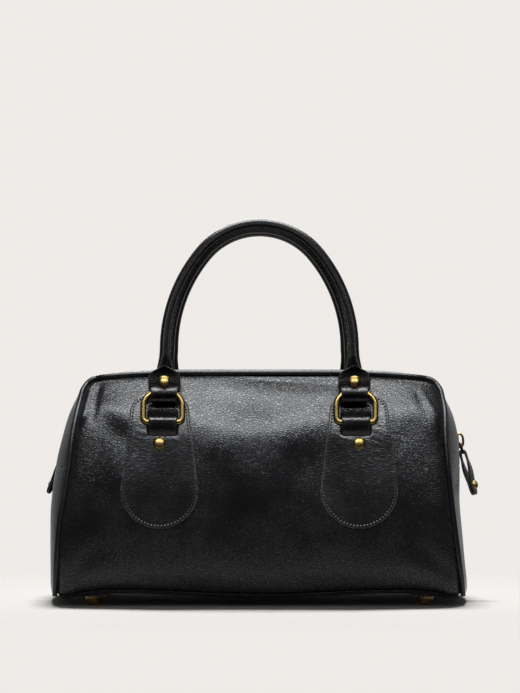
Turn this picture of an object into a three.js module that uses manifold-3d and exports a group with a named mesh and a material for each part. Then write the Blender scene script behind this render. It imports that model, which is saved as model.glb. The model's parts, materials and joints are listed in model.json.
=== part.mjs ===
// A black leather satchel: a soft zip-top body with piped edges, two rolled handles hung on
// D-rings, antique brass fittings and four feet.
// Millimetres. +X is to the right, +Y to the back and +Z up, with the floor at z = 0.
import * as THREE from "three";
import { mergeVertices } from "three/addons/utils/BufferGeometryUtils.js";
import Module from "manifold-3d";

const wasm = await Module();
wasm.setup();

const GAP = 0.3;
const LEATHER = 2;
const STRAP = 1.6;

// Outline of the front and back panels: a tall trapezium with round upper corners.
const BASE_Z = 9.9;
const TOP_Z = 180;
const BASE_HALF = 155.9;
const TOP_HALF = 138.3;
const CORNER_R = 9;
const TAPER = Math.atan2(BASE_HALF - TOP_HALF, TOP_Z - BASE_Z);

// Distance of the panels' outer faces from the middle plane, from the base to the top seam.
const SIDE_PROFILE = [
  { z: 8, depth: 71 },
  { z: 30, depth: 75 },
  { z: 70, depth: 76.5 },
  { z: 110, depth: 74 },
  { z: 140, depth: 68 },
  { z: 162, depth: 60.5 },
  { z: 180, depth: 52 },
];
// The top seam sinks towards its ends.
const TOP_DROOP = 5;
const DROOP_HALF = 134;
const DROOP_FROM_Z = 145;
const EDGE_ROLL = 7;
const ROLL_POWER = 10;
const BASE_WAVE = 3.4;
const WAVE_CREST = 112;
const WAVE_RUN_OUT = 44;
const WAVE_FADE = 45;

// Soft hollows in the front panel; turn is the angle of the long side from level, in degrees.
const DENTS = [
  { x: -118, z: 152, long: 34, short: 8, turn: -62, depth: 2.4 },
  { x: 24, z: 175, long: 44, short: 6, turn: -3, depth: 1.6 },
  { x: 118, z: 140, long: 22, short: 9, turn: 55, depth: 1.4 },
];

const PIPING_R = 2;
const SEAM = PIPING_R + 0.5;
const BASE_PIPING_R = 1.5;
const END_LOW = 7.6;
const PLATE_Z = 9.6;
const PLATE_THICK = 2.4;
const PLATE_CORNER = 148;
// The base sags round its feet, over this stretch from the middle.
const PLATE_SAG = { from: 119, to: 141, ramp: 3, depth: 2.6 };

// How far the left and right ends, and the top, swell past the piping at the middle of the depth.
const BULGE = [
  { z: 7, left: 8, right: 7 },
  { z: 32, left: 9.4, right: 7 },
  { z: 57, left: 11.9, right: 8.2 },
  { z: 77, left: 15, right: 9.2 },
  { z: 97, left: 16.5, right: 11.6 },
  { z: 128, left: 13.3, right: 14.2 },
  { z: 147, left: 9.4, right: 11 },
  { z: 160, left: 6, right: 6.8 },
  { z: 170, left: 2.8, right: 3 },
  { z: 182.5, left: 0.6, right: 0.6 },
];
// The ends fold in where the zip runs down them.
const SINK = { left: 13, right: 5, half: 18, z: 115, reach: 48 };

const ZIP_END_Z = 108;
const ZIP_HALF = 8;
const TAPE_HALF = 12;
const TAPE_THICK = 0.9;
const CHAIN_HALF = 3;
const CHAIN_THICK = 2;

// Patches that carry the D-rings, and the window that each ring loop comes out of.
const PATCH_X = 78;
const PATCH = { low: 60.8, lowR: 30.2, neckZ: 148, neckHalf: 23.5, top: 167.3, lift: 0.7, thick: 1.8 };
const WINDOW = { half: 12.4, low: 132.8, high: 157.5 };

const RING_X = 75.5;
const RING_WIRE_R = 2.25;
const RING_HALF = 15.25;
const RING_HEIGHT = 23.3;
const RING_FOOT_R = 3.4;
const RING_HEAD_R = 10.5;
const HINGE = { y: -71.8, z: 144 };
const LOOP_HALF = 11.2;
const LOOP_LEAN = THREE.MathUtils.degToRad(17);

const TAB_X = 74.5;
const TAB_FOLD = { y: -67.4, z: 164 };
const TAB_LEAN = THREE.MathUtils.degToRad(24.5);
const TAB_INSIDE = 2.8;
const RING_LEAN = Math.atan2(TAB_FOLD.y - HINGE.y, TAB_FOLD.z - HINGE.z);

// The handle seen from the front: a tight arc over the top, a wide arc on each leg.
const HANDLE_R = 6.25;
const HANDLE_TOP_Z = 298.7;
const HANDLE_TOP_R = 58.2;
const HANDLE_LEG_R = 119.3;
const HANDLE_TURN = THREE.MathUtils.degToRad(50);
const HANDLE_LEAN = THREE.MathUtils.degToRad(10);
const HANDLE_END = { z: 170.5, flatZ: 180.5, roundZ: 196, wide: 7.4, thin: 2.4 };

const RIVET = { radius: 4.6, height: 3 };
const TAB_RIVET_UP = 10.9;
const PATCH_RIVET_Z = 127.4;

const FOOT = { x: 130, y: 58, radius: 6.9, flat: 2.4, height: PLATE_Z - PLATE_SAG.depth - GAP };

const SLIDER = { z: 126, half: 7, high: 3, width: 9 };
const BRIDGE = { half: 5.2, low: 2.5, high: 6.3, thick: 1.8, width: 2.4 };
// The link hangs below the middle of the slider and off its back.
const LINK = { half: 6, length: 8, wire: 0.9, corner: 2, below: 2.3, off: 4.2 };
// How far each link and pull strap hang out from upright, and the strap's twist, in degrees.
const HANG = {
  right: { link: 14, pull: 16, twist: 35 },
  left: { link: 18, pull: 23, twist: 20 },
};
const PULL = { length: 35, width: 9, fold: 2.8, belly: 3.6, tip: 1.7, skin: 1.6, rivetAt: 27 };
const PULL_RIVET = { radius: 2.7, height: 1.6 };
// The right pull hangs out further than the left, so the body's middle is left of the whole's.
const BODY_X = -2.06;

const { lerp, mapLinear, clamp } = THREE.MathUtils;
const X = new THREE.Vector3(1, 0, 0);
const Y = new THREE.Vector3(0, 1, 0);
const Z = new THREE.Vector3(0, 0, 1);

function spline(rows, at, value) {
  const curve = new THREE.CubicInterpolant(rows.map((r) => r[at]), rows.map((r) => r[value]), 1);
  const first = rows[0][at];
  const last = rows[rows.length - 1][at];
  return (t) => curve.evaluate(clamp(t, first, last))[0];
}
const depthAt = spline(SIDE_PROFILE, "z", "depth");
const bulgeLeft = spline(BULGE, "z", "left");
const bulgeRight = spline(BULGE, "z", "right");

// A closed skin over rings of points. Each end is capped by joining the first half of its ring
// to the second half, so a ring may be a thin band as well as a round.
function loft(rings, closed = false) {
  const count = rings[0].length;
  const index = [];
  const quad = (a, b, c, d) => index.push(a, b, c, a, c, d);
  const spans = closed ? rings.length : rings.length - 1;
  for (let row = 0; row < spans; row++) {
    const here = row * count;
    const there = ((row + 1) % rings.length) * count;
    for (let i = 0; i < count; i++) {
      const next = (i + 1) % count;
      quad(here + i, here + next, there + next, there + i);
    }
  }
  const last = (rings.length - 1) * count;
  for (let i = 0; !closed && i + 1 < count / 2; i++) {
    quad(count - 1 - i, count - 2 - i, i + 1, i);
    quad(last + i, last + i + 1, last + count - 2 - i, last + count - 1 - i);
  }
  const points = rings.flat();
  let volume = 0;
  for (let i = 0; i < index.length; i += 3) {
    const [a, b, c] = [points[index[i]], points[index[i + 1]], points[index[i + 2]]];
    volume += a.dot(b.clone().cross(c));
  }
  if (volume < 0) index.reverse();
  return new THREE.BufferGeometry().setFromPoints(points).setIndex(index);
}

// A tube through points; across is the direction of its second half size.
function tube(points, sizeAt, sides, { across = Y, closed = false } = {}) {
  const count = points.length;
  const rings = points.map((point, i) => {
    const ahead = points[closed ? (i + 1) % count : Math.min(i + 1, count - 1)];
    const behind = points[closed ? (i + count - 1) % count : Math.max(i - 1, 0)];
    const along = ahead.clone().sub(behind).normalize();
    const side = across.clone().addScaledVector(along, -across.dot(along)).normalize();
    const up = side.clone().cross(along);
    const [high, wide] = sizeAt(i);
    return Array.from({ length: sides }, (_, k) => {
      const turn = ((k + 0.5) / sides) * 2 * Math.PI;
      return point
        .clone()
        .addScaledVector(up, high * Math.cos(turn))
        .addScaledVector(side, wide * Math.sin(turn));
    });
  });
  return loft(rings, closed);
}

function solid(shape) {
  const bare = shape.clone();
  bare.deleteAttribute("normal");
  bare.deleteAttribute("uv");
  const merged = mergeVertices(bare, 1e-4);
  const vertProperties = merged.attributes.position.array;
  return new wasm.Manifold(
    new wasm.Mesh({ numProp: 3, vertProperties, triVerts: new Uint32Array(merged.index.array) }),
  );
}

function skin(body) {
  const mesh = body.getMesh();
  return new THREE.BufferGeometry()
    .setAttribute("position", new THREE.BufferAttribute(mesh.vertProperties, mesh.numProp))
    .setIndex(new THREE.BufferAttribute(mesh.triVerts, 1));
}

// The panel outline, grown outwards: half width at a height, and the round of its upper corner.
function outline(grow) {
  const sideAt = (z) => mapLinear(z, BASE_Z, TOP_Z, BASE_HALF, TOP_HALF);
  const centreZ = TOP_Z - CORNER_R;
  const centreX = sideAt(centreZ) - CORNER_R / Math.cos(TAPER);
  const radius = CORNER_R + grow;
  const bend = centreZ + radius * Math.sin(TAPER);
  const halfWidth = (z) => {
    if (z < bend) return sideAt(z) + grow / Math.cos(TAPER);
    return centreX + Math.sqrt(Math.max(radius ** 2 - (z - centreZ) ** 2, 0));
  };
  return { halfWidth, centreX, centreZ, radius, bend };
}
const panelEdge = outline(0);
const seamEdge = outline(SEAM);

// Stations along the seam from the right side over the top to the left, with outward normals.
function seamStations(low, steps) {
  const { halfWidth, centreX, centreZ, radius, bend } = seamEdge;
  const right = [];
  const add = (x, z, turn) => right.push({ x, z, nx: Math.cos(turn), nz: Math.sin(turn) });
  for (let i = 0; i < steps.side; i++) {
    const z = lerp(low, bend, i / steps.side);
    add(halfWidth(z), z, TAPER);
  }
  for (let i = 0; i <= steps.corner; i++) {
    const turn = lerp(TAPER, Math.PI / 2, i / steps.corner);
    add(centreX + radius * Math.cos(turn), centreZ + radius * Math.sin(turn), turn);
  }
  for (let i = 1; i <= steps.top; i++) {
    add(centreX * (1 - i / steps.top), centreZ + radius, Math.PI / 2);
  }
  const left = right.slice(0, -1).reverse();
  return [...right, ...left.map((s) => ({ ...s, x: -s.x, nx: -s.nx }))];
}

// Depth of the middle of the piping along the seam.
function seamDepth(x, z) {
  const out = Math.min(Math.abs(x) / seamEdge.centreX, 1);
  return depthAt(Math.min(z, TOP_Z)) - EDGE_ROLL * out ** ROLL_POWER - LEATHER / 2;
}

function dentAt(x, z) {
  return DENTS.reduce((sum, dent) => {
    const turn = THREE.MathUtils.degToRad(dent.turn);
    const dx = x - dent.x;
    const dz = z - dent.z;
    const along = (dx * Math.cos(turn) + dz * Math.sin(turn)) / dent.long;
    const aside = (dz * Math.cos(turn) - dx * Math.sin(turn)) / dent.short;
    return sum + dent.depth * Math.exp(-(along ** 2) - aside ** 2);
  }, 0);
}

function panelDepth(x, z, front) {
  const out = Math.min(Math.abs(x) / panelEdge.halfWidth(z), 1);
  return depthAt(z) - EDGE_ROLL * out ** ROLL_POWER - (front ? dentAt(x, z) : 0);
}

// The base line lifts where the feet carry it and sags between them and at the corners.
function baseLift(x) {
  const past = Math.abs(x) - WAVE_CREST;
  const away = past < 0 ? -past / WAVE_CREST : past / WAVE_RUN_OUT;
  return (BASE_WAVE * (1 + Math.cos(Math.PI * Math.min(away, 1)))) / 2;
}

function droop(x, z) {
  const end = Math.abs(x) / DROOP_HALF;
  return TOP_DROOP * end ** 5 * THREE.MathUtils.smoothstep(z, DROOP_FROM_Z, TOP_Z + SEAM);
}

function panel(front) {
  const { halfWidth, centreZ, bend } = panelEdge;
  const rows = [BASE_Z, 24, 42, 62, 84, 104, 122, 138, 150, 161, bend];
  for (const turn of [38, 64, 90]) {
    rows.push(centreZ + CORNER_R * Math.sin(THREE.MathUtils.degToRad(turn)));
  }
  const steps = 16;
  const facing = front ? -1 : 1;
  return loft(
    rows.map((z) => {
      const fade = Math.max(1 - (z - BASE_Z) / WAVE_FADE, 0) ** 2;
      const outer = [];
      const inner = [];
      for (let i = 0; i <= steps; i++) {
        const x = halfWidth(z) * Math.sin(Math.PI * (i / steps - 0.5));
        const depth = panelDepth(x, z, front);
        const height = z + baseLift(x) * fade - droop(x, z);
        outer.push(new THREE.Vector3(x, facing * depth, height));
        inner.unshift(new THREE.Vector3(x, facing * (depth - LEATHER), height));
      }
      return [...outer, ...inner];
    }),
  );
}

// How far to the right a station lies; end is 1 or -1 where it stands for the right or left end.
function rightShare(x, end) {
  return ((end ?? clamp(x / seamEdge.centreX, -1, 1)) + 1) / 2;
}

function swell({ x, z, end }) {
  return lerp(bulgeLeft(z), bulgeRight(z), rightShare(x, end));
}

function sink({ x, z, end }, y) {
  const fade = Math.exp(-((y / SINK.half) ** 2) - ((z - SINK.z) / SINK.reach) ** 2);
  return lerp(SINK.left, SINK.right, rightShare(x, end)) * fade;
}

// A point of the ends and top at a station of the seam, y across and offset off its middle skin.
function gusset(station, y, offset) {
  const { x, z, nx, nz } = station;
  const round = 1 - (y / seamDepth(x, z)) ** 2;
  const out = swell(station) * round - sink(station, y) + offset;
  return new THREE.Vector3(x + nx * out, y, z + nz * out - droop(x, z));
}

function endStation(z, end) {
  return { x: seamEdge.halfWidth(z), z, nx: Math.cos(TAPER), nz: Math.sin(TAPER), end };
}

// Columns between two values of y; ease crowds them towards the second.
function columns(from, to, count, ease = 1) {
  return Array.from({ length: count + 1 }, (_, i) => lerp(from, to, 1 - (1 - i / count) ** ease));
}

// A band of the ends and top through the columns of y at each station, with its own thickness.
function band(stations, across, low, high) {
  return loft(
    stations.map((station) => {
      const ys = across(station);
      const outer = ys.map((y) => gusset(station, y, high));
      const inner = ys.map((y) => gusset(station, y, low)).reverse();
      return [...outer, ...inner];
    }),
  );
}
const seamReach = (station) => seamDepth(station.x, station.z) - PIPING_R - 3 * GAP;

function endPanel(end) {
  const steps = 8;
  const stations = Array.from({ length: steps + 1 }, (_, i) => {
    return endStation(lerp(END_LOW, ZIP_END_Z - GAP, i / steps), end);
  });
  const across = (station) => columns(-seamReach(station), seamReach(station), 8);
  return band(stations, across, -LEATHER / 2, LEATHER / 2);
}

function piping() {
  const stations = seamStations(END_LOW, { side: 8, corner: 5, top: 4 });
  const points = stations.map(({ x, z }) => new THREE.Vector3(x, -seamDepth(x, z), z - droop(x, z)));
  return tube(points, () => [PIPING_R, PIPING_R], 6);
}

function basePiping() {
  const points = [];
  const half = panelEdge.halfWidth(BASE_Z) - 3;
  for (let i = 0; i <= 16; i++) {
    const x = half * Math.sin(Math.PI * (i / 16 - 0.5));
    const z = BASE_Z + baseLift(x) - BASE_PIPING_R - GAP - 0.1;
    points.push(new THREE.Vector3(x, LEATHER / 2 - panelDepth(x, BASE_Z, false), z));
  }
  return tube(points, () => [BASE_PIPING_R, BASE_PIPING_R], 6);
}

// The stiff base, tucked inside the walls all round.
function basePanel() {
  const z = PLATE_Z + PLATE_THICK / 2;
  const sideX = seamEdge.halfWidth(z);
  const out = Math.min(bulgeLeft(z), bulgeRight(z));
  const inside = LEATHER / 2 + GAP + 0.4;
  const depth = seamDepth(sideX, z);
  const halfDepth = (x) => {
    const room = 1 - (Math.abs(x) - sideX + inside) / out;
    const atEnd = room < 1 ? depth * Math.sqrt(Math.max(room, 0.01)) : Infinity;
    const atSide = panelDepth(x, BASE_Z, false) - LEATHER / 2 - BASE_PIPING_R - GAP - 0.2;
    const corner = Math.abs(x) > PLATE_CORNER ? depth - PIPING_R - 0.6 : atSide;
    return Math.min(atEnd, atSide, corner);
  };
  const reach = sideX - inside + out * 0.98;
  const { from, to, ramp } = PLATE_SAG;
  const atFoot = [from - ramp, from, to, to + ramp];
  const xs = [...atFoot, PLATE_CORNER - 0.1, PLATE_CORNER + 0.1, 154, 157, 160, 162.5, reach];
  const all = [...xs.map((x) => -x).reverse(), ...xs];
  return loft(
    all.map((x) => {
      const y = halfDepth(x);
      const corner = (side, height) => new THREE.Vector3(x, side * y, height);
      const sags = Math.abs(x) >= from && Math.abs(x) <= to;
      const low = PLATE_Z - (sags ? PLATE_SAG.depth : 0);
      const top = low + PLATE_THICK;
      return [corner(-1, low), corner(1, low), corner(1, top), corner(-1, top)];
    }),
  );
}

// A patch laid over its panel, tombstone shaped, with the window for its ring loop.
function patch(right, front) {
  const lowZ = PATCH.low + PATCH.lowR;
  const half = (z) => {
    if (z < lowZ) return Math.sqrt(PATCH.lowR ** 2 - (lowZ - z) ** 2);
    if (z < PATCH.neckZ) return mapLinear(z, lowZ, PATCH.neckZ, PATCH.lowR, PATCH.neckHalf);
    return PATCH.neckHalf * Math.sqrt(1 - ((z - PATCH.neckZ) / (PATCH.top - PATCH.neckZ)) ** 2);
  };
  const rows = [-80, -58, -32, 0].map((t) => lowZ + PATCH.lowR * Math.sin(THREE.MathUtils.degToRad(t)));
  rows.push(106, 121, 135);
  for (const turn of [0, 30, 56, 80]) {
    rows.push(PATCH.neckZ + (PATCH.top - PATCH.neckZ) * Math.sin(THREE.MathUtils.degToRad(turn)));
  }
  const facing = front ? -1 : 1;
  const steps = 4;
  const sheet = loft(
    rows.map((z) => {
      const outer = [];
      const inner = [];
      for (let i = 0; i <= steps; i++) {
        const x = right * PATCH_X + half(z) * lerp(-1, 1, i / steps);
        const depth = panelDepth(x, z, front) + PATCH.lift;
        outer.push(new THREE.Vector3(x, facing * (depth + PATCH.thick), z));
        inner.unshift(new THREE.Vector3(x, facing * depth, z));
      }
      return [...outer, ...inner];
    }),
  );
  const hole = new THREE.BoxGeometry(2 * WINDOW.half, 60, WINDOW.high - WINDOW.low);
  hole.translate(right * RING_X, facing * 65, (WINDOW.high + WINDOW.low) / 2);
  return skin(solid(sheet).subtract(solid(hole)));
}

// Local axes of a piece on the front: x stays, the second runs up and leans back, the third faces out.
function leaning(x, place, lean) {
  const up = new THREE.Vector3(0, Math.sin(lean), Math.cos(lean));
  const out = new THREE.Vector3(0, -Math.cos(lean), Math.sin(lean));
  return new THREE.Matrix4().makeBasis(X, up, out).setPosition(x, place.y, place.z);
}

// A strip of leather seen edge on, along a line of [up, out] points.
function ribbon(line, thick) {
  const near = [];
  const far = [];
  line.forEach(([u, v], i) => {
    const [u1, v1] = line[Math.min(i + 1, line.length - 1)];
    const [u0, v0] = line[Math.max(i - 1, 0)];
    const size = Math.hypot(u1 - u0, v1 - v0);
    const du = ((v0 - v1) / size) * (thick / 2);
    const dv = ((u1 - u0) / size) * (thick / 2);
    near.push(new THREE.Vector2(u + du, v + dv));
    far.unshift(new THREE.Vector2(u - du, v - dv));
  });
  return new THREE.Shape([...near, ...far]);
}

function extruded(shape, width) {
  const body = new THREE.ExtrudeGeometry(shape, { depth: width, bevelEnabled: false, curveSegments: 3 });
  return body.translate(0, 0, -width / 2);
}

// An edge-on shape drawn in [up, out], given its width along x.
function widened(shape, half) {
  return extruded(shape, 2 * half).applyMatrix4(new THREE.Matrix4().makeBasis(Y, Z, X));
}

function arc(radius, from, to, steps, centre = [0, 0]) {
  return Array.from({ length: steps + 1 }, (_, i) => {
    const turn = THREE.MathUtils.degToRad(lerp(from, to, i / steps));
    return [centre[0] + radius * Math.sin(turn), centre[1] + radius * Math.cos(turn)];
  });
}

function dRing() {
  const points = [];
  const round = (cx, cy, radius, from, to, steps) => {
    for (const [u, v] of arc(radius, from, to, steps, [cx, cy])) points.push(new THREE.Vector3(u, v, 0));
  };
  const foot = RING_HALF - RING_FOOT_R;
  const head = RING_HALF - RING_HEAD_R;
  round(head, RING_HEIGHT - RING_HEAD_R, RING_HEAD_R, 0, 90, 5);
  round(foot, RING_FOOT_R, RING_FOOT_R, 90, 180, 2);
  round(-foot, RING_FOOT_R, RING_FOOT_R, 180, 270, 2);
  round(-head, RING_HEIGHT - RING_HEAD_R, RING_HEAD_R, 270, 360, 5);
  const wire = tube(points, () => [RING_WIRE_R, RING_WIRE_R], 6, { across: Z, closed: true });
  return wire.applyMatrix4(leaning(RING_X, HINGE, RING_LEAN));
}

// The strap that comes out of the patch's window, goes round the bar of the D-ring and tucks in behind.
function ringLoop() {
  const radius = RING_WIRE_R + GAP + STRAP / 2;
  const over = arc(radius, 0, 180, 8);
  const front = [
    [-10.2, -3.1],
    [-7.6, -1.2],
    [-4.6, 1.5],
    [-2.2, 2.9],
  ];
  const line = [...front, ...over, [-4.5, -radius]];
  return widened(ribbon(line, STRAP), LOOP_HALF).applyMatrix4(leaning(RING_X, HINGE, LOOP_LEAN));
}

// The handle's end tab: a strap folded round the ring, its pointed ends laid over the handle.
function handleTab() {
  const radius = TAB_INSIDE + STRAP / 2;
  const fold = arc(radius, 360, 180, 8);
  const over = [[30, radius + 4.8], [24.2, radius + 2], [20, radius + 0.5], [16, radius]];
  const hairpin = widened(ribbon([...over, ...fold, [15, -radius]], STRAP), 15);
  const face = new THREE.Shape();
  face.moveTo(-10.2, -8);
  face.lineTo(10.2, -8);
  face.lineTo(10.2, 1);
  face.bezierCurveTo(10.2, 4.5, 12.6, 5.5, 12.6, 9.6);
  face.bezierCurveTo(12.6, 14.2, 12.6, 17.4, 8.6, 20.6);
  face.lineTo(0, 24.2);
  face.lineTo(-8.6, 20.6);
  face.bezierCurveTo(-12.6, 17.4, -12.6, 14.2, -12.6, 9.6);
  face.bezierCurveTo(-12.6, 5.5, -10.2, 4.5, -10.2, 1);
  const body = skin(solid(hairpin).intersect(solid(extruded(face, 30))));
  return body.applyMatrix4(leaning(TAB_X, TAB_FOLD, TAB_LEAN));
}

function dome(radius, height) {
  const profile = [
    [0, 0],
    [radius, 0],
    [radius * 0.97, height * 0.35],
    [radius * 0.72, height * 0.78],
    [0, height],
  ];
  const body = new THREE.LatheGeometry(profile.map(([r, h]) => new THREE.Vector2(r, h)), 12);
  return body.rotateX(Math.PI / 2);
}

function tabRivet() {
  const body = dome(RIVET.radius, RIVET.height);
  body.translate(0, TAB_RIVET_UP, TAB_INSIDE + STRAP + GAP);
  return body.applyMatrix4(leaning(TAB_X, TAB_FOLD, TAB_LEAN));
}

function patchRivet() {
  const rise = depthAt(PATCH_RIVET_Z + 2) - depthAt(PATCH_RIVET_Z - 2);
  const depth = panelDepth(PATCH_X, PATCH_RIVET_Z, false) + PATCH.lift + PATCH.thick + GAP;
  const body = dome(RIVET.radius, RIVET.height);
  return body.applyMatrix4(leaning(PATCH_X, { y: -depth, z: PATCH_RIVET_Z }, Math.atan2(-rise, 4)));
}

// The handle's middle line leans back with the tab, then stands up straighter.
function handleY(z) {
  const low = 178;
  const high = 198;
  const steep = Math.tan(TAB_LEAN);
  const upright = Math.tan(HANDLE_LEAN);
  const bent = clamp(z, low, high) - low;
  const turn = steep * bent + ((upright - steep) * bent ** 2) / (2 * (high - low));
  return TAB_FOLD.y + steep * (Math.min(z, low) - TAB_FOLD.z) + turn + upright * Math.max(z - high, 0);
}

function handle() {
  const right = [];
  const centreZ = HANDLE_TOP_Z - HANDLE_TOP_R;
  const spread = HANDLE_LEG_R - HANDLE_TOP_R;
  const legX = -spread * Math.sin(HANDLE_TURN);
  const legZ = centreZ - spread * Math.cos(HANDLE_TURN);
  const rootX = legX + HANDLE_LEG_R;
  for (const z of [HANDLE_END.z, 176, HANDLE_END.flatZ, 184.5, 188.5, 192.5]) {
    const flat = 1 - THREE.MathUtils.smoothstep(z, HANDLE_END.flatZ, HANDLE_END.roundZ);
    right.push({ x: mapLinear(z, legZ, HANDLE_END.z, rootX, TAB_X), z, flat });
  }
  for (let i = 0; i < 6; i++) {
    const turn = lerp(Math.PI / 2, HANDLE_TURN, i / 6);
    right.push({ x: legX + HANDLE_LEG_R * Math.sin(turn), z: legZ + HANDLE_LEG_R * Math.cos(turn), flat: 0 });
  }
  for (let i = 0; i <= 5; i++) {
    const turn = lerp(HANDLE_TURN, 0, i / 5);
    right.push({ x: HANDLE_TOP_R * Math.sin(turn), z: centreZ + HANDLE_TOP_R * Math.cos(turn), flat: 0 });
  }
  const left = right.slice(0, -1).reverse();
  const stations = [...right, ...left.map((s) => ({ ...s, x: -s.x }))];
  const points = stations.map((s) => new THREE.Vector3(s.x, handleY(s.z), s.z));
  const size = (i) => {
    const { flat } = stations[i];
    return [lerp(HANDLE_R, HANDLE_END.wide, flat), lerp(HANDLE_R, HANDLE_END.thin, flat)];
  };
  return tube(points, size, 10);
}

function foot() {
  const { radius, flat, height } = FOOT;
  const profile = [
    [0, 0],
    [flat, 0],
    [radius * 0.68, height * 0.22],
    [radius * 0.92, height * 0.55],
    [radius, height],
    [0, height],
  ];
  const body = new THREE.LatheGeometry(profile.map(([r, h]) => new THREE.Vector2(r, h)), 12);
  return body.rotateX(Math.PI / 2).translate(FOOT.x, -FOOT.y, 0);
}

// Local axes on an end of the zip: up along the teeth, out from the bag, and across.
function zipPlace(z, end) {
  const chainTop = CHAIN_THICK - LEATHER / 2 + GAP;
  const onChain = (height) => gusset(endStation(height, end), CHAIN_HALF, chainTop).setY(0);
  const up = onChain(z + 3).sub(onChain(z - 3)).normalize();
  return { at: onChain(z), up, out: Y.clone().cross(up) };
}

function slider({ at, up, out }) {
  const { half, high } = SLIDER;
  const body = new THREE.Shape();
  body.moveTo(-half, GAP);
  body.lineTo(half, GAP);
  body.lineTo(half - 0.6, high - 0.6);
  body.lineTo(half - 2, high);
  body.lineTo(2 - half, high);
  body.lineTo(0.6 - half, high - 0.6);
  const rise = [
    [BRIDGE.half, BRIDGE.low],
    [BRIDGE.half - 0.3, BRIDGE.high - 1.3],
    [BRIDGE.half - 2.2, BRIDGE.high],
  ];
  const fall = rise.map(([u, v]) => [-u, v]).reverse();
  const block = extruded(body, SLIDER.width);
  const bridge = extruded(ribbon([...rise, ...fall], BRIDGE.thick), BRIDGE.width);
  const frame = new THREE.Matrix4().makeBasis(up, out, Y).setPosition(at);
  return skin(solid(block).add(solid(bridge))).applyMatrix4(frame);
}

function hanging(degrees) {
  const turn = THREE.MathUtils.degToRad(degrees);
  return new THREE.Vector3(Math.sin(turn), 0, -Math.cos(turn));
}

// The link hangs from the slider's bridge.
function pullLink(top, down) {
  const { half, length, corner, wire } = LINK;
  const side = half - corner;
  const rounds = [
    ...arc(corner, 0, 90, 2, [side, -corner]),
    ...arc(corner, 90, 180, 2, [side, corner - length]),
    ...arc(corner, 180, 270, 2, [-side, corner - length]),
    ...arc(corner, 270, 360, 2, [-side, -corner]),
  ];
  const points = rounds.map(([y, up]) => top.clone().addScaledVector(Y, y).addScaledVector(down, -up));
  return tube(points, () => [wire, wire], 5, { across: Y.clone().cross(down), closed: true });
}

// Turns a strap about its own line, growing from the fold down to the belly.
function twistAt(down, twist) {
  return THREE.MathUtils.degToRad(twist) * THREE.MathUtils.smoothstep(down, 1, 18);
}

// A strap folded over the link, open at the belly and closed at the tip; drawn in [down, out].
function pullStrap(top, down, twist) {
  const { length, width, fold, belly, tip, skin: thick } = PULL;
  const side = (grow) => [
    [0, fold + grow],
    [7, lerp(fold, belly, 0.7) + grow],
    [14, belly + grow],
    [20, lerp(belly, tip, 0.6) + grow],
  ];
  const loop = (grow, end) => {
    const near = side(grow);
    const far = near.map(([d, e]) => [d, -e]).reverse();
    const over = arc(fold + grow, 180, 360, 6).slice(1, -1);
    return [...near, ...end, ...far, ...over].map(([d, e]) => new THREE.Vector2(d, e));
  };
  const shape = new THREE.Shape(loop(0, [[24, tip], [length, tip], [length, -tip], [24, -tip]]));
  shape.holes.push(new THREE.Path(loop(-thick, [[23, 0]]).reverse()));
  const strip = extruded(shape, width);
  const face = new THREE.Shape();
  face.moveTo(-5, -width / 2 + 1);
  face.lineTo(8, -width / 2);
  face.lineTo(length - 6, -width / 2);
  face.bezierCurveTo(length - 2, -width / 2, length, -2, length, 0);
  face.bezierCurveTo(length, 2, length - 2, width / 2, length - 6, width / 2);
  face.lineTo(8, width / 2);
  face.lineTo(-5, width / 2 - 1);
  const cutter = extruded(face, 12).rotateX(-Math.PI / 2);
  const across = Y.clone().negate();
  const frame = new THREE.Matrix4().makeBasis(down, across.clone().cross(down), across).setPosition(top);
  const body = skin(solid(strip).intersect(solid(cutter)));
  const place = body.attributes.position;
  const point = new THREE.Vector3();
  for (let i = 0; i < place.count; i++) {
    point.fromBufferAttribute(place, i);
    point.applyAxisAngle(X, -twistAt(point.x, twist));
    place.setXYZ(i, point.x, point.y, point.z);
  }
  return body.applyMatrix4(frame);
}

function pullRivet(top, down, twist) {
  const across = Y.clone().applyAxisAngle(down, -twistAt(PULL.rivetAt, twist));
  const out = down.clone().cross(across);
  const at = top.clone().addScaledVector(down, PULL.rivetAt).addScaledVector(out, PULL.tip + GAP);
  const frame = new THREE.Matrix4().makeBasis(across, down.clone().negate(), out).setPosition(at);
  return dome(PULL_RIVET.radius, PULL_RIVET.height).applyMatrix4(frame);
}

const grain = { color: 0x1b1b1d, roughness: 0.5, metalness: 0 };
const smooth = { color: 0x161618, roughness: 0.42, metalness: 0 };
const brass = { color: 0x8f6f42, roughness: 0.35, metalness: 1 };
const cloth = { color: 0x121214, roughness: 0.9, metalness: 0 };

const satchel = new THREE.Group();
satchel.position.x = BODY_X;
function add(parent, name, shape, look) {
  const mesh = new THREE.Mesh(shape, new THREE.MeshStandardMaterial(look));
  mesh.name = name;
  parent.add(mesh);
}

const zipStations = seamStations(ZIP_END_Z, { side: 4, corner: 4, top: 4 });
const tapeColumns = [-TAPE_HALF, -ZIP_HALF, -CHAIN_HALF, CHAIN_HALF, ZIP_HALF, TAPE_HALF];
const stripColumns = (station) => columns(-seamReach(station), -ZIP_HALF, 3, 1.6);
const half = LEATHER / 2;
const tapeTop = -half - GAP;
const chainLow = tapeTop + GAP;
const chainHigh = chainLow + CHAIN_THICK;
const tape = band(zipStations, () => tapeColumns, tapeTop - TAPE_THICK, tapeTop);
const teeth = band(zipStations, () => [-CHAIN_HALF, CHAIN_HALF], chainLow, chainHigh);

add(satchel, "front_panel", panel(true), grain);
add(satchel, "back_panel", panel(false), grain);
add(satchel, "base_panel", basePanel(), grain);
add(satchel, "zip_tape", tape, cloth);
add(satchel, "zip_teeth", teeth, brass);

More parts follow.
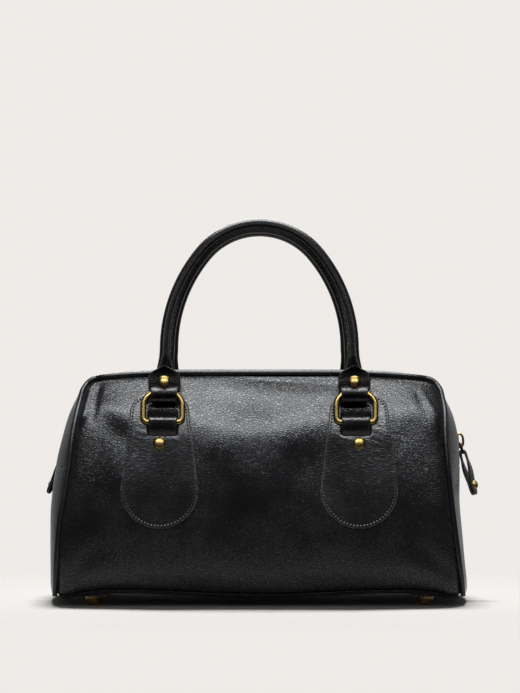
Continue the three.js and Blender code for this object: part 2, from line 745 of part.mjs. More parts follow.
for (const back of [1, -1]) {
  const face = back === 1 ? "front" : "back";
  const facing = new THREE.Group();
  facing.scale.set(1, back, 1);
  satchel.add(facing);
  const strip = band(zipStations, stripColumns, -half, half);
  add(facing, `zip_strip_${face}`, strip, grain);
  add(facing, `piping_${face}`, piping(), grain);
  add(facing, `base_piping_${face}`, basePiping(), grain);
  add(facing, `handle_${face}`, handle(), smooth);
  for (const right of [1, -1]) {
    const place = `${face}_${right === 1 ? "right" : "left"}`;
    const corner = new THREE.Group();
    corner.scale.set(right, 1, 1);
    facing.add(corner);
    add(satchel, `patch_${place}`, patch(right, back === 1), smooth);
    add(corner, `ring_loop_${place}`, ringLoop(), smooth);
    add(corner, `d_ring_${place}`, dRing(), brass);
    add(corner, `handle_tab_${place}`, handleTab(), smooth);
    add(corner, `tab_rivet_${place}`, tabRivet(), brass);
    add(corner, `patch_rivet_${place}`, patchRivet(), brass);
    add(corner, `foot_${place}`, foot(), brass);
  }
}

for (const right of [1, -1]) {
  const place = right === 1 ? "right" : "left";
  const end = new THREE.Group();
  end.scale.set(right, 1, 1);
  satchel.add(end);
  const zip = zipPlace(SLIDER.z, right);
  const linkTop = zip.at.clone().addScaledVector(zip.up, -LINK.below).addScaledVector(zip.out, LINK.off);
  const linkDown = hanging(HANG[place].link);
  const pullTop = linkTop.clone().addScaledVector(linkDown, LINK.length);
  const pullDown = hanging(HANG[place].pull);
  add(end, `end_panel_${place}`, endPanel(right), grain);
  add(end, `zip_slider_${place}`, slider(zip), brass);
  add(end, `pull_link_${place}`, pullLink(linkTop, linkDown), brass);
  add(end, `pull_strap_${place}`, pullStrap(pullTop, pullDown, HANG[place].twist), smooth);
  add(end, `pull_rivet_${place}`, pullRivet(pullTop, pullDown, HANG[place].twist), brass);
}

export default satchel;
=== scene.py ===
import json
import math
from collections import namedtuple

import bpy
import numpy as np
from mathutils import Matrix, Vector

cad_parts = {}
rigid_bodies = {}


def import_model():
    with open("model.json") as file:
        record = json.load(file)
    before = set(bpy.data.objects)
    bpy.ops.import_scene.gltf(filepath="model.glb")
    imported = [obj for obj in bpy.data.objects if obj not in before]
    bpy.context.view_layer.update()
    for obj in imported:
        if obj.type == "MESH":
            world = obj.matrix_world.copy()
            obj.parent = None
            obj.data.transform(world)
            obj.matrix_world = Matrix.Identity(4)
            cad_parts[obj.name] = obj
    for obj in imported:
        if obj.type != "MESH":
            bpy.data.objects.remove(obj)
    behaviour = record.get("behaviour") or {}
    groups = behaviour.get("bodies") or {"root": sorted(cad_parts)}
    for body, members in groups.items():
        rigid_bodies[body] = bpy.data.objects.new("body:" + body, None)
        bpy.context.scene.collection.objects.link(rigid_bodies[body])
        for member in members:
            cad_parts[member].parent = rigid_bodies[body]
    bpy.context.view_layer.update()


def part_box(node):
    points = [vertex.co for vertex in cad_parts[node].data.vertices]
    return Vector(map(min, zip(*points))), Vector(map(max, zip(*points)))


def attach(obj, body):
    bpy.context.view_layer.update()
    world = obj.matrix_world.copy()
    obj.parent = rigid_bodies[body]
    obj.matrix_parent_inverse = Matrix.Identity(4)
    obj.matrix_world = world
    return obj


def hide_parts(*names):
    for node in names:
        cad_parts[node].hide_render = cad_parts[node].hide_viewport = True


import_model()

# Sizes in millimetres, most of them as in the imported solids; meshes are written in metres.
MM = 0.001
X_AXIS, Y_AXIS, Z_AXIS = np.eye(3)
# The body's middle plane, a little left of the middle of the whole.
MIDDLE_X = (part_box("front_panel")[0][0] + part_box("front_panel")[1][0]) / 2
# Names of the faces and ends by their sign: back is -1 for the back, right is -1 for the left.
FACE, SIDE = {1: "front", -1: "back"}, {1: "right", -1: "left"}

LEATHER = 2.0
STRAP = 1.6
GAP = 0.3
BASE_Z, TOP_Z = 9.9, 180.0
BASE_HALF, TOP_HALF = 155.9, 138.3
CORNER_R, LOW_CORNER = 9.0, 2.0
TAPER = math.atan2(BASE_HALF - TOP_HALF, TOP_Z - BASE_Z)
SIDE_PROFILE = [(8, 71), (30, 75), (70, 76.5), (110, 74), (140, 68), (162, 60.5), (180, 52)]
TOP_DROOP, DROOP_HALF, DROOP_FROM_Z, DROOP_POWER = 5.0, 134.0, 145.0, 5
EDGE_ROLL, ROLL_POWER = 7.0, 10
BASE_WAVE, WAVE_CREST, WAVE_RUN_OUT, WAVE_FADE = 3.4, 112.0, 44.0, 45.0
PANEL_GROW, PANEL_DROP, EDGE_TURN, EDGE_TURN_RUN = 0.9, 0.4, 1.7, 1.5
PANEL_WEAR, PANEL_WEAR_RUN, CROWDING = 0.5, 2.0, 0.6
LOBE, LOBE_X, LOBE_HALF = 1.8, 150.0, 8.0
PIPING_R, BASE_PIPING_R = 2.0, 1.5
SEAM, SEAM_LAP = PIPING_R + 0.5, 0.4
END_LOW = 7.6
END_SWAY, END_RIPPLE, SIDE_TUCK, TOP_TUCK, LOW_TUCK = 0.4, 0.1, 1.1, 0.7, 1.4
PLATE_Z, PLATE_THICK, PLATE_SWELL, PLATE_CORNER_X = 9.6, 2.4, 0.35, 148.0
SAG_FROM, SAG_TO, SAG_RAMP, SAG_DEPTH = 119.0, 141.0, 3.0, 2.6
BULGE_Z = [7, 32, 57, 77, 97, 128, 147, 160, 170, 182.5]
BULGE_LEFT = [8, 9.4, 11.9, 15, 16.5, 13.3, 9.4, 6, 2.8, 0.6]
BULGE_RIGHT = [7, 7, 8.2, 9.2, 11.6, 14.2, 11, 6.8, 3, 0.6]
SINK_LEFT, SINK_RIGHT, SINK_HALF, SINK_Z, SINK_REACH = 13.0, 5.0, 18.0, 115.0, 48.0
ZIP_END_Z, ZIP_HALF, TAPE_HALF, TAPE_THICK = 108.0, 8.0, 12.0, 0.9
ZIP_RIPPLE, ZIP_STITCH_IN = 0.12, 2.2
SEAM_LIP, SEAM_LIP_RATE, ZIP_LIP, ZIP_LIP_RATE = 0.9, 30, 0.5, 60
# Stitches: pitch, length and radius.
ZIP_STITCH, PATCH_STITCH, HANDLE_STITCH = (3.0, 2.3, 0.34), (2.65, 1.75, 0.85), (3.2, 2.3, 0.36)
CHAIN_HALF, CHAIN_THICK, TOOTH_PITCH = 3.0, 2.0, 1.35
PATCH_X, PATCH_LOW, PATCH_LOW_R, PATCH_NECK_Z = 78.0, 60.8, 30.2, 148.0
PATCH_NECK_HALF, PATCH_TOP, NECK_POWER, STITCH_IN = 23.5, 167.3, 0.8, 2.3
PATCH_OUT, PATCH_UNDER, PATCH_SWELL, CRINKLE = 1.75, 0.35, 0.2, 0.08
PATCH_BOW, BOW_Z, BOW_LOW, BOW_FULL = 1.3, 135.0, 92.0, 137.0
GROOVE, GROOVE_HALF, RIM_ROUND, RIM_RUN, LIP_DROP, LIP_RUN = 0.06, 0.8, 1.0, 0.6, 0.25, 1.4
# How much lighter a patch's rim is painted and how fast that fades inwards: rubbed edges, and a painted
# highlight along the bevel.
RIM_WEAR_AND_HIGHLIGHT, RIM_WEAR_AND_HIGHLIGHT_RUN = 2.2, 0.5
DULL_FROM_Z, DULL_TO_Z = 78.0, 100.0
WINDOW_HALF, WINDOW_LOW, WINDOW_HIGH = 12.4, 132.8, 157.5
POCKET_DEPTH, POCKET_RAMP = 8.0, 12.0
RING_X, RING_WIRE_R, RING_HALF, RING_HEIGHT = 75.5, 2.45, 15.25, 23.3
RING_FOOT_R, RING_HEAD_R = 3.4, 10.5
HINGE = np.array([-71.8, 144.0])
LOOP_INSIDE, LOOP_HALF, LOOP_LEAN = 2.55, 11.2, math.radians(17)
TAB_X, TAB_FOLD = 74.5, np.array([-67.4, 164.0])
TAB_LEAN, TAB_INSIDE, TAB_TIP = math.radians(24.5), 2.8, 24.2
TAB_ROLL, TAB_ROLL_OUT = 1.3, 0.65
RING_LEAN = math.atan2(TAB_FOLD[0] - HINGE[0], TAB_FOLD[1] - HINGE[1])
# The rolled handle is drawn a little thinner than its solid.
HANDLE_R, HANDLE_TOP_Z, HANDLE_TOP_R, HANDLE_LEG_R = 5.9, 298.7, 58.2, 119.3
HANDLE_TURN, HANDLE_LEAN, HANDLE_BEND = math.radians(50), math.radians(10), (178.0, 198.0)
HANDLE_END_Z, FLAT_Z, ROUND_Z, END_WIDE, END_THIN = 170.5, 180.5, 196.0, 7.4, 2.4
# Where the handle's seam runs round its section, and how far off its stitches are, in degrees.
SEAM_TURN, SEAM_STITCH, SEAM_FROM_Z, HANDLE_SIDES = -96.0, 27.0, 192.0, 72
# The seam's ridge, groove, and a lighter colour on the ridge (rubbing there, and a painted highlight where
# the ridge catches the light): height or share, degrees off the seam, half width in degrees.
SEAM_RIDGE, SEAM_GROOVE, SEAM_WEAR_AND_HIGHLIGHT = (0.05, -9, 9), (-0.1, 0, 4.5), (0.6, -7, 6)
RIVET_HEIGHT, TAB_RIVET_R, TAB_RIVET_UP = 3.0, 4.85, 10.9
PATCH_RIVET_R, PATCH_RIVET_Z, PATCH_RIVET_OUT = 5.2, 127.4, 3.2
FOOT_X, FOOT_Y, FOOT_R, FOOT_FLAT, FOOT_HEIGHT = 130.0, 58.0, 6.9, 2.4, 6.7
SLIDER_Z = 126.0
LINK_HALF, LINK_LENGTH, LINK_WIRE, LINK_CORNER = 6.0, 8.0, 0.9, 2.0
LINK_DOWN, LINK_OUT, TWIST_FROM, TWIST_TO, PRESS_FROM, PRESS_TO = 2.3, 4.2, 1, 18, 6, 20
PULL_LENGTH, PULL_HALF, PULL_NECK, PULL_ROUND, PULL_FOLD_R = 35.0, 4.5, 3.5, 29.0, 2.0
PULL_RIVET, PULL_RIVET_OUT = 27.0, 1.75
# Degrees from upright of each link and pull strap, the strap's twist and thickness, how far its
# lower half is pressed together, and its rivet's radius and height.
Pull = namedtuple("Pull", "link_turn turn twist thick pressed rivet_r rivet_height")
PULLS = {1: Pull(14, 16, -22, 2.0, 1.0, 3.8, 3.1), -1: Pull(14, 24, 17, 1.0, 0.6, 2.6, 1.2)}

# How far the front seam leans out past the even outline, by height, and where that sets in.
LEAN_Z = [11, 17, 38, 67, 91, 112, 133, 155, 173]
LEAN_LEFT = [1.8, 2.2, 3.2, 3.7, 1.9, 1.0, 0.9, -0.6, -2.4]
LEAN_RIGHT = [1.1, 1.2, 0.5, -0.2, -0.5, -0.5, 0.2, 2.3, 2.0]
LEAN_FROM_X, LEAN_TO_X, LEAN_FROM_Y, LEAN_TO_Y = 95, 145, 4, 60

# Hollows of the front panel: x, z, half length, half width, turn in degrees, depth.
DENTS = [(-113, 135, 26, 9, -40, 0.5), (24, 175, 44, 6, -3, 1.6), (118, 140, 22, 9, 55, 0.5)]
# The bend across a panel: its height, how much higher it runs at the ends, its waves and its swell.
KNEE_Z, KNEE_RISE, KNEE_HALF, KNEE_WAVE, KNEE_RUN = 132, 20, 60, 1.5, 19
KNEE_OUT, KNEE_END_OUT, KNEE_BELOW, KNEE_ABOVE = 1.5, 0.3, 20, 12
# The welt at the left seam: distance from the edge, half width and height; and where it begins and ends.
WELT = [(3.0, 3.4, 2.4), (11.0, 3.4, -1.0)]
WELT_Z = (138, 150, 172, 180)
# Folds of the soft leather: x and z of both ends, half width, height (negative for a valley).
FRONT_FOLDS = [
    (-119, 159, -101, 142, 7.0, 0.6),
    (-124, 150, -106, 131, 8.0, -0.5),
    (-15, 177.5, 59, 173.5, 3.0, -0.5),
    (53, 166, 41, 145, 2.4, -0.3),
    (49, 160, 35, 136, 2.8, -0.25),
    (46, 163, 33, 141, 2.4, 0.2),
    (44, 152, 28, 128, 3.0, 0.2),
    (127, 171, 137, 151, 1.9, 0.4),
    (122, 170, 131, 148, 2.2, -0.4),
    (117, 168, 124, 146, 2.4, 0.3),
    (130, 160, 139, 138, 2.2, 0.3),
    (108, 164, 106, 138, 3.2, -0.35),
    (-44, 168, -30, 140, 4.0, -0.25),
    (-20, 160, 20, 152, 6.0, 0.25),
    (-150, 20, -120, 48, 8.0, -0.8),
    (150, 24, 122, 50, 8.0, -0.8),
]
BACK_FOLDS = [
    (131, 172, 135.5, 144, 3.0, 1.5),
    (126, 172, 130, 143, 2.6, -1.0),
    (118, 158, 101, 140, 5.5, 1.2),
    (-122, 168, -131, 147, 2.4, -0.8),
    (-127, 171, -137, 151, 2.0, 0.7),
    (20, 177, -55, 174, 3.0, -0.8),
    (-52, 165, -40, 144, 2.4, -0.7),
    (50, 165, 38, 142, 2.6, -0.6),
    (-108, 164, -106, 138, 3.2, -0.6),
    (150, 22, 122, 48, 8.0, -0.8),
    (-148, 22, -121, 46, 8.0, -0.7),
]
# Long soft waves in the leather: waves per millimetre across and up, height, phase.
RIPPLES = [(0.008, 0.013, 0.2, 0.4), (-0.012, 0.009, 0.16, 2.1), (0.02, -0.015, 0.05, 4.4)]


def smooth(value, low, high):
    share = np.clip((value - low) / (high - low), 0, 1)
    return share * share * (3 - 2 * share)


def between(value, low, low_full, high_full, high):
    return smooth(value, low, low_full) * (1 - smooth(value, high_full, high))


def bell(value, half):
    return np.exp(-((value / half) ** 2))


def unit(vectors):
    return vectors / np.linalg.norm(vectors, axis=-1, keepdims=True)


def stacked(*columns):
    """Columns broadcast together, as the last axis of one array."""
    return np.stack(np.broadcast_arrays(*columns), axis=-1)


def spline(at, values):
    at, values = np.asarray(at, float), np.asarray(values, float)
    last = len(at) - 1

    def curve(t):
        t = np.clip(t, at[0], at[-1])
        i = np.clip(np.searchsorted(at, t, side="right"), 1, last)
        t0, t1, v0, v1 = at[i - 1], at[i], values[i - 1], values[i]
        half = (t1 - t0) / 2
        before = np.where(i == 1, i, i - 2)
        after = np.where(i == last, i - 1, np.minimum(i + 1, last))
        wp, wn = half / (t0 - at[before]), half / (at[after] - t1)
        p = (t - t0) / (t1 - t0)
        rise = v1 - v0
        start, stop = rise / 2 + wp * (v0 - values[before]), rise / 2 + wn * (values[after] - v1)
        return v0 + p * (start + p * (3 * rise - 2 * start - stop + p * (start + stop - 2 * rise)))

    return curve


depth_at = spline(*zip(*SIDE_PROFILE))
bulge_left = spline(BULGE_Z, BULGE_LEFT)
bulge_right = spline(BULGE_Z, BULGE_RIGHT)
lean_left = spline(LEAN_Z, LEAN_LEFT)
lean_right = spline(LEAN_Z, LEAN_RIGHT)


class Outline:
    """The panel outline grown outwards by some millimetres."""

    def __init__(self, grow):
        self.grow = grow
        self.centre_z = TOP_Z - CORNER_R
        self.centre_x = self.side(self.centre_z) - CORNER_R / math.cos(TAPER)
        self.radius = CORNER_R + grow
        self.bend = self.centre_z + self.radius * math.sin(TAPER)

    def side(self, z):
        return BASE_HALF + (TOP_HALF - BASE_HALF) * (z - BASE_Z) / (TOP_Z - BASE_Z)

    def half_width(self, z):
        z = np.asarray(z, float)
        arc = self.centre_x + np.sqrt(np.maximum(self.radius**2 - (z - self.centre_z) ** 2, 0))
        return np.where(z < self.bend, self.side(z) + self.grow / math.cos(TAPER), arc)

    def stations(self, low, side, corner, top):
        """x, z and outward normal along the outline from the right side over the top to the left."""
        zs = np.linspace(low, self.bend, side, endpoint=False)
        turn = np.linspace(TAPER, math.pi / 2, corner)
        angle = np.concatenate([np.full(side, TAPER), turn, np.full(top, math.pi / 2)])
        across = self.centre_x * (1 - np.arange(1, top + 1) / top)
        x = np.concatenate([self.half_width(zs), self.centre_x + self.radius * np.cos(turn), across])
        z = np.concatenate([zs, self.centre_z + self.radius * np.sin(angle[side:])])
        right = stacked(x, z, np.cos(angle), np.sin(angle))
        left = right[-2::-1] * [-1, 1, -1, 1]
        return np.concatenate([right, left])


PANEL_EDGE = Outline(0)
SEAM_EDGE = Outline(SEAM)
ZIP_STATIONS = SEAM_EDGE.stations(ZIP_END_Z, 60, 16, 90)


def seam_depth(x, z):
    out = np.minimum(np.abs(x) / SEAM_EDGE.centre_x, 1)
    return depth_at(np.minimum(z, TOP_Z)) - EDGE_ROLL * out**ROLL_POWER - LEATHER / 2


def folds(x, z, rows):
    total = np.zeros(np.broadcast(x, z).shape)
    for x0, z0, x1, z1, width, height in rows:
        dx, dz = x1 - x0, z1 - z0
        length = math.hypot(dx, dz)
        along = ((x - x0) * dx + (z - z0) * dz) / length**2
        aside = ((z - z0) * dx - (x - x0) * dz) / length
        total += height * between(along, -0.3, 0.25, 0.75, 1.3) * bell(aside, width)
    return total


def ripple(x, z):
    return sum(h * np.sin(2 * math.pi * (a * x + b * z) + p) for a, b, h, p in RIPPLES)


def dents(x, z):
    total = 0
    for cx, cz, long, short, turn, deep in DENTS:
        turn = math.radians(turn)
        along = (x - cx) * math.cos(turn) + (z - cz) * math.sin(turn)
        aside = (z - cz) * math.cos(turn) - (x - cx) * math.sin(turn)
        total = total + deep * bell(along, long) * bell(aside, short)
    return total


def panel_depth(x, z):
    out = np.minimum(np.abs(x) / PANEL_EDGE.half_width(z), 1)
    return depth_at(z) - EDGE_ROLL * out**ROLL_POWER


def knee(x, z):
    """The soft bend across a panel, above which it leans back."""
    out = 1 - bell(x, KNEE_HALF)
    off = z - KNEE_Z - KNEE_RISE * out - KNEE_WAVE * np.sin(x / KNEE_RUN)
    return (KNEE_OUT + KNEE_END_OUT * out) * bell(off, np.where(off < 0, KNEE_BELOW, KNEE_ABOVE))


def welt(x, z):
    """The tube of leather along the left seam, below the upper corner."""
    near = PANEL_EDGE.half_width(z) - np.abs(x)
    return between(z, *WELT_Z) * (x < 0) * sum(height * bell(near - at, half) for at, half, height in WELT)


def panel_face(x, z, front):
    """Distance of a panel's outer face from the middle plane, with its folds."""
    shape = ripple(x, z) + knee(x, z) + folds(x, z, FRONT_FOLDS if front else BACK_FOLDS)
    return panel_depth(x, z) + shape + (welt(x, z) - dents(x, z) if front else 0)


def pocket(x, z):
    """How far the panel is drawn in behind each ring, inside the window of its patch."""
    inside = 1 - smooth(np.abs(np.abs(x) - RING_X), WINDOW_HALF - 1, WINDOW_HALF + 3)
    heights = (WINDOW_LOW - POCKET_RAMP, WINDOW_LOW, WINDOW_LOW, WINDOW_HIGH + 2)
    return POCKET_DEPTH * inside * between(z, *heights)


def base_lift(x):
    past = np.abs(x) - WAVE_CREST
    away = np.where(past < 0, -past / WAVE_CREST, past / WAVE_RUN_OUT)
    return BASE_WAVE * (1 + np.cos(math.pi * np.minimum(away, 1))) / 2


def lobe(x):
    """The lower corners of the panels hang a little below the base line."""
    return LOBE * bell(np.abs(x) - LOBE_X, LOBE_HALF)


def droop(x, z):
    return TOP_DROOP * (np.abs(x) / DROOP_HALF) ** DROOP_POWER * smooth(z, DROOP_FROM_Z, TOP_Z + SEAM)


def gusset(stations, y, offset, end=None):
    """Points of the ends and top: stations down, y across, offset off the middle of the skin."""
    x, z, nx, nz = (stations[:, k, None] for k in range(4))
    share = ((np.clip(x / SEAM_EDGE.centre_x, -1, 1) if end is None else end) + 1) / 2
    swell = bulge_left(z) * (1 - share) + bulge_right(z) * share
    fade = bell(y, SINK_HALF) * bell(z - SINK_Z, SINK_REACH)
    sink = (SINK_LEFT * (1 - share) + SINK_RIGHT * share) * fade
    out = swell * (1 - (y / seam_depth(x, z)) ** 2) - sink + offset
    return stacked(x + nx * out, y, z + nz * out - droop(x, z))


def end_stations(low, high, count):
    z = np.linspace(low, high, count)
    return stacked(SEAM_EDGE.half_width(z), z, math.cos(TAPER), math.sin(TAPER))


# Mesh making.
def loft(rings, closed=False):
    """Points and faces of a skin over rings of points; open ends are capped."""
    rings = np.asarray(rings, float)
    rows, count = rings.shape[:2]
    grid = np.arange(rows * count).reshape(rows, count)
    there = np.roll(grid, -1, axis=0) if closed else grid[1:]
    here = grid if closed else grid[:-1]
    faces = stacked(here, np.roll(here, -1, 1), np.roll(there, -1, 1), there).reshape(-1, 4)
    if not closed:
        i = np.arange((count - 1) // 2)
        first = stacked(count - 1 - i, count - 2 - i, i + 1, i)
        last = grid[-1, 0] + first[:, ::-1]
        faces = np.concatenate([faces, first, last])
    return rings.reshape(-1, 3), faces


def outward(points, faces):
    a, b, c, d = (points[faces[:, k]] for k in range(4))
    volume = np.einsum("ij,ij->", a, np.cross(b, c)) + np.einsum("ij,ij->", a, np.cross(c, d))
    return faces if volume > 0 else faces[:, ::-1]


def joined(parts):
    points, faces, start = [], [], 0
    for p, f in parts:
        points.append(p)
        faces.append(outward(p, f) + start)
        start += len(p)
    return np.concatenate(points), np.concatenate(faces)


def slumped(points):
    """The front of the soft body leans to one side: its seams move out or in, the middle stays."""
    x, y, z = points.T
    move = np.where(x < 0, -lean_left(z), lean_right(z))
    move = move * smooth(np.abs(x), LEAN_FROM_X, LEAN_TO_X) * smooth(-y, LEAN_FROM_Y, LEAN_TO_Y)
    return points + move[:, None] * X_AXIS


def piece(name, parts, look, slot, body="bag", nodes=(), flip=(1, 1), sharp=50, edge=None, soft=False):
    """A new object from lofted parts, flipped to the right and back, in place of CAD nodes."""
    points, faces = joined([(p * [*flip, 1], f) for p, f in parts])
    if soft:
        points = slumped(points)
    mesh = bpy.data.meshes.new(name)
    clean = [list(dict.fromkeys(f)) for f in faces.tolist()]
    mesh.from_pydata((points * MM + MIDDLE_X * X_AXIS).tolist(), [], clean)
    mesh.validate()
    mesh.shade_smooth()
    mesh.set_sharp_from_angle(angle=math.radians(sharp))
    mesh.materials.append(look)
    if edge is not None:
        data = mesh.attributes.new("edge", "FLOAT", "POINT").data
        data.foreach_set("value", np.asarray(edge, np.float32))
    obj = bpy.data.objects.new(name, mesh)
    bpy.context.scene.collection.objects.link(obj)
    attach(obj, body)
    if nodes:
        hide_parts(*nodes)


Finish = namedtuple("Finish", "look slot kind")


def cover(node, parts, finish, body="bag", **more):
    """A piece in place of one CAD node, named after the node and what it is made of."""
    piece(f"{node}_{finish.kind}", parts, finish.look, finish.slot, body, [node], **more)


def around(sides, start=0.5):
    return (np.arange(sides) + start) / sides * 2 * math.pi


def axes_along(points, across, closed=False):
    """Directions to the side and up at each point of a line."""
    step = np.roll(points, -1, 0) - np.roll(points, 1, 0) if closed else np.gradient(points, axis=0)
    along = unit(step)
    side = unit(across - along * (along @ across)[:, None])
    return side, np.cross(side, along)


def tube(points, high, wide, sides, across=Y_AXIS, closed=False, profile=None):
    """A tube along points; profile scales its radius round the section."""
    side, up = axes_along(points, across, closed)
    turn = around(sides)
    scale = np.ones(sides) if profile is None else profile(turn)
    high, wide = (np.broadcast_to(np.asarray(v, float), len(points)) for v in (high, wide))
    rings = (
        points[:, None]
        + up[:, None] * (high[:, None] * np.cos(turn) * scale)[..., None]
        + side[:, None] * (wide[:, None] * np.sin(turn) * scale)[..., None]
    )
    return loft(rings, closed)


def reach_of(line):
    """How far along a line each of its points is."""
    return np.concatenate([[0], np.cumsum(np.linalg.norm(np.diff(line, axis=0), axis=1))])


def at_reach(at, reach, values):
    return np.stack([np.interp(at, reach, column) for column in values.T], axis=-1)


def evenly(line, count):
    reach = reach_of(line)
    return at_reach(np.linspace(0, reach[-1], count), reach, line)


def curve(points, count):
    """A smooth line through points, evenly spaced."""
    points = np.asarray(points, float)
    ends = np.concatenate([[2 * points[0] - points[1]], points, [2 * points[-1] - points[-2]]])
    t = np.linspace(0, 1, 24, endpoint=False)[:, None]
    line = []
    for a, b, c, d in zip(ends, ends[1:], ends[2:], ends[3:]):
        square, cube = 2 * a - 5 * b + 4 * c - d, 3 * b - a - 3 * c + d
        line.append(0.5 * (2 * b + (c - a) * t + square * t**2 + cube * t**3))
    return evenly(np.concatenate([*line, points[-1:]]), count)


def arc(radius, start, stop, steps, centre=(0, 0)):
    turn = np.radians(np.linspace(start, stop, steps + 1))
    return stacked(centre[0] + radius * np.sin(turn), centre[1] + radius * np.cos(turn))


def ring_line(half, high, high_r, high_steps, low, low_r, low_steps):
    """A closed line of (side, up) round a ring with rounded corners."""
    head, foot = (half - high_r, high - high_r), (half - low_r, low + low_r)
    return np.concatenate([
        arc(high_r, 0, 90, high_steps, head),
        arc(low_r, 90, 180, low_steps, foot),
        arc(low_r, 180, 270, low_steps, (-foot[0], foot[1])),
        arc(high_r, 270, 360, high_steps, (-head[0], head[1])),
    ])


class Place:
    """Local axes: side, up and out, at a point."""

    def __init__(self, origin, up, out, side=X_AXIS):
        self.origin, self.up, self.out, self.side = (np.asarray(v, float) for v in (origin, up, out, side))

    def points(self, side, up, out):
        moves = ((side, self.side), (up, self.up), (out, self.out))
        return self.origin + sum(np.asarray(far)[..., None] * axis for far, axis in moves)


def leaning(x, place, lean):
    up, out = (0, math.sin(lean), math.cos(lean)), (0, -math.cos(lean), math.sin(lean))
    return Place((x, place[0], place[1]), up, out)


# A strap's rounded edge: share of the bevel and of the thickness.
STRAP_EDGE = ((0.72, 0.36), (1.0, 0.0), (0.72, -0.36))
STRAP_WEAR = 2.2


def strap(line, half, thick, place, puff=0.0):
    """A flat strap with rounded edges along a line of (up, out), and how near each point is to its edge."""
    line = np.asarray(line, float)
    count = len(line)
    half = np.broadcast_to(np.asarray(half, float), count)
    step = unit(np.gradient(line, axis=0))
    bevel = np.minimum(0.45 * thick, 0.8 * half)
    x, t, near = [], [], []
    for way in (1, -1):
        for share in np.linspace(-1, 1, 13) * way:
            x.append(share * (half - bevel))
            crown = puff * (1 - share**2) if way > 0 else 0
            t.append(np.full(count, way * thick / 2 + crown))
            near.append(np.clip(1 - (1 - abs(share)) * half / STRAP_WEAR, 0, 1))
        for out, high in STRAP_EDGE:
            x.append(way * (half - bevel + out * bevel))
            t.append(np.full(count, way * high * thick))
            near.append(np.ones(count))
    x, t, near = (stacked(*v) for v in (x, t, near))
    up = line[:, :1] - step[:, 1:] * t
    out = line[:, 1:] + step[:, :1] * t
    return loft(place.points(x, up, out)), near.reshape(-1)


# The least radius of a turned shape.
PIN_R = 0.02


def lathe(profile, sides, place):
    """A turned shape: profile of (radius, height) along out."""
    turn = around(sides, 0)
    radius, height = np.array(profile, float).T[..., None]
    radius = np.maximum(radius, PIN_R)
    return loft(place.points(radius * np.cos(turn), radius * np.sin(turn), height))


def dome_profile(radius, height):
    rise = np.radians(np.linspace(0, 90, 9))
    crown = [(radius * 0.94 * math.cos(a), height * (0.22 + 0.78 * math.sin(a))) for a in rise]
    return [(0, 0), (radius * 0.94, 0), (radius, height * 0.08), (radius, height * 0.16), *crown]


# Rings of a stitch: share of its length, of its radius, and lift in radii.
STITCH_RINGS = [(-0.5, 0.3, -0.9), (-0.36, 0.9, -0.15), (0, 1, 0.1), (0.36, 0.9, -0.15), (0.5, 0.3, -0.9)]


def stitches(line, normals, pitch, length, radius, tilt=0.0):
    """Threads laid along a line, each a small rounded bar that dips in at its ends."""
    reach = reach_of(line)
    count = max(int(reach[-1] / pitch), 1)
    at = (np.arange(count) + 0.5) * reach[-1] / count
    centre = at_reach(at, reach, line)
    normal = unit(at_reach(at, reach, normals))
    along = unit(at_reach(at + 0.3, reach, line) - at_reach(at - 0.3, reach, line))
    along = along * math.cos(tilt) + np.cross(normal, along) * math.sin(tilt)
    aside = np.cross(normal, along)
    turn = around(6)[:, None]
    parts = []
    for c, n, a, s in zip(centre, normal, along, aside):
        rings = []
        for share, size, lift in STITCH_RINGS:
            mid = c + a * share * length + n * lift * radius
            rings.append(mid + radius * size * (np.cos(turn) * s + np.sin(turn) * n))
        parts.append(loft(rings))
    return parts


# Materials.
def add_node(tree, kind, inputs=None, **settings):
    node = tree.nodes.new(kind)
    for key, value in settings.items():
        setattr(node, key, value)
    for key, value in (inputs or {}).items():
        if isinstance(value, bpy.types.NodeSocket):
            tree.links.new(value, node.inputs[key])
        else:
            node.inputs[key].default_value = value
    return node


# Places of the colour sockets in a mix node, which has several of the same name.
MIX_SHARE, MIX_A, MIX_B, MIX_RESULT = 0, 6, 7, 2


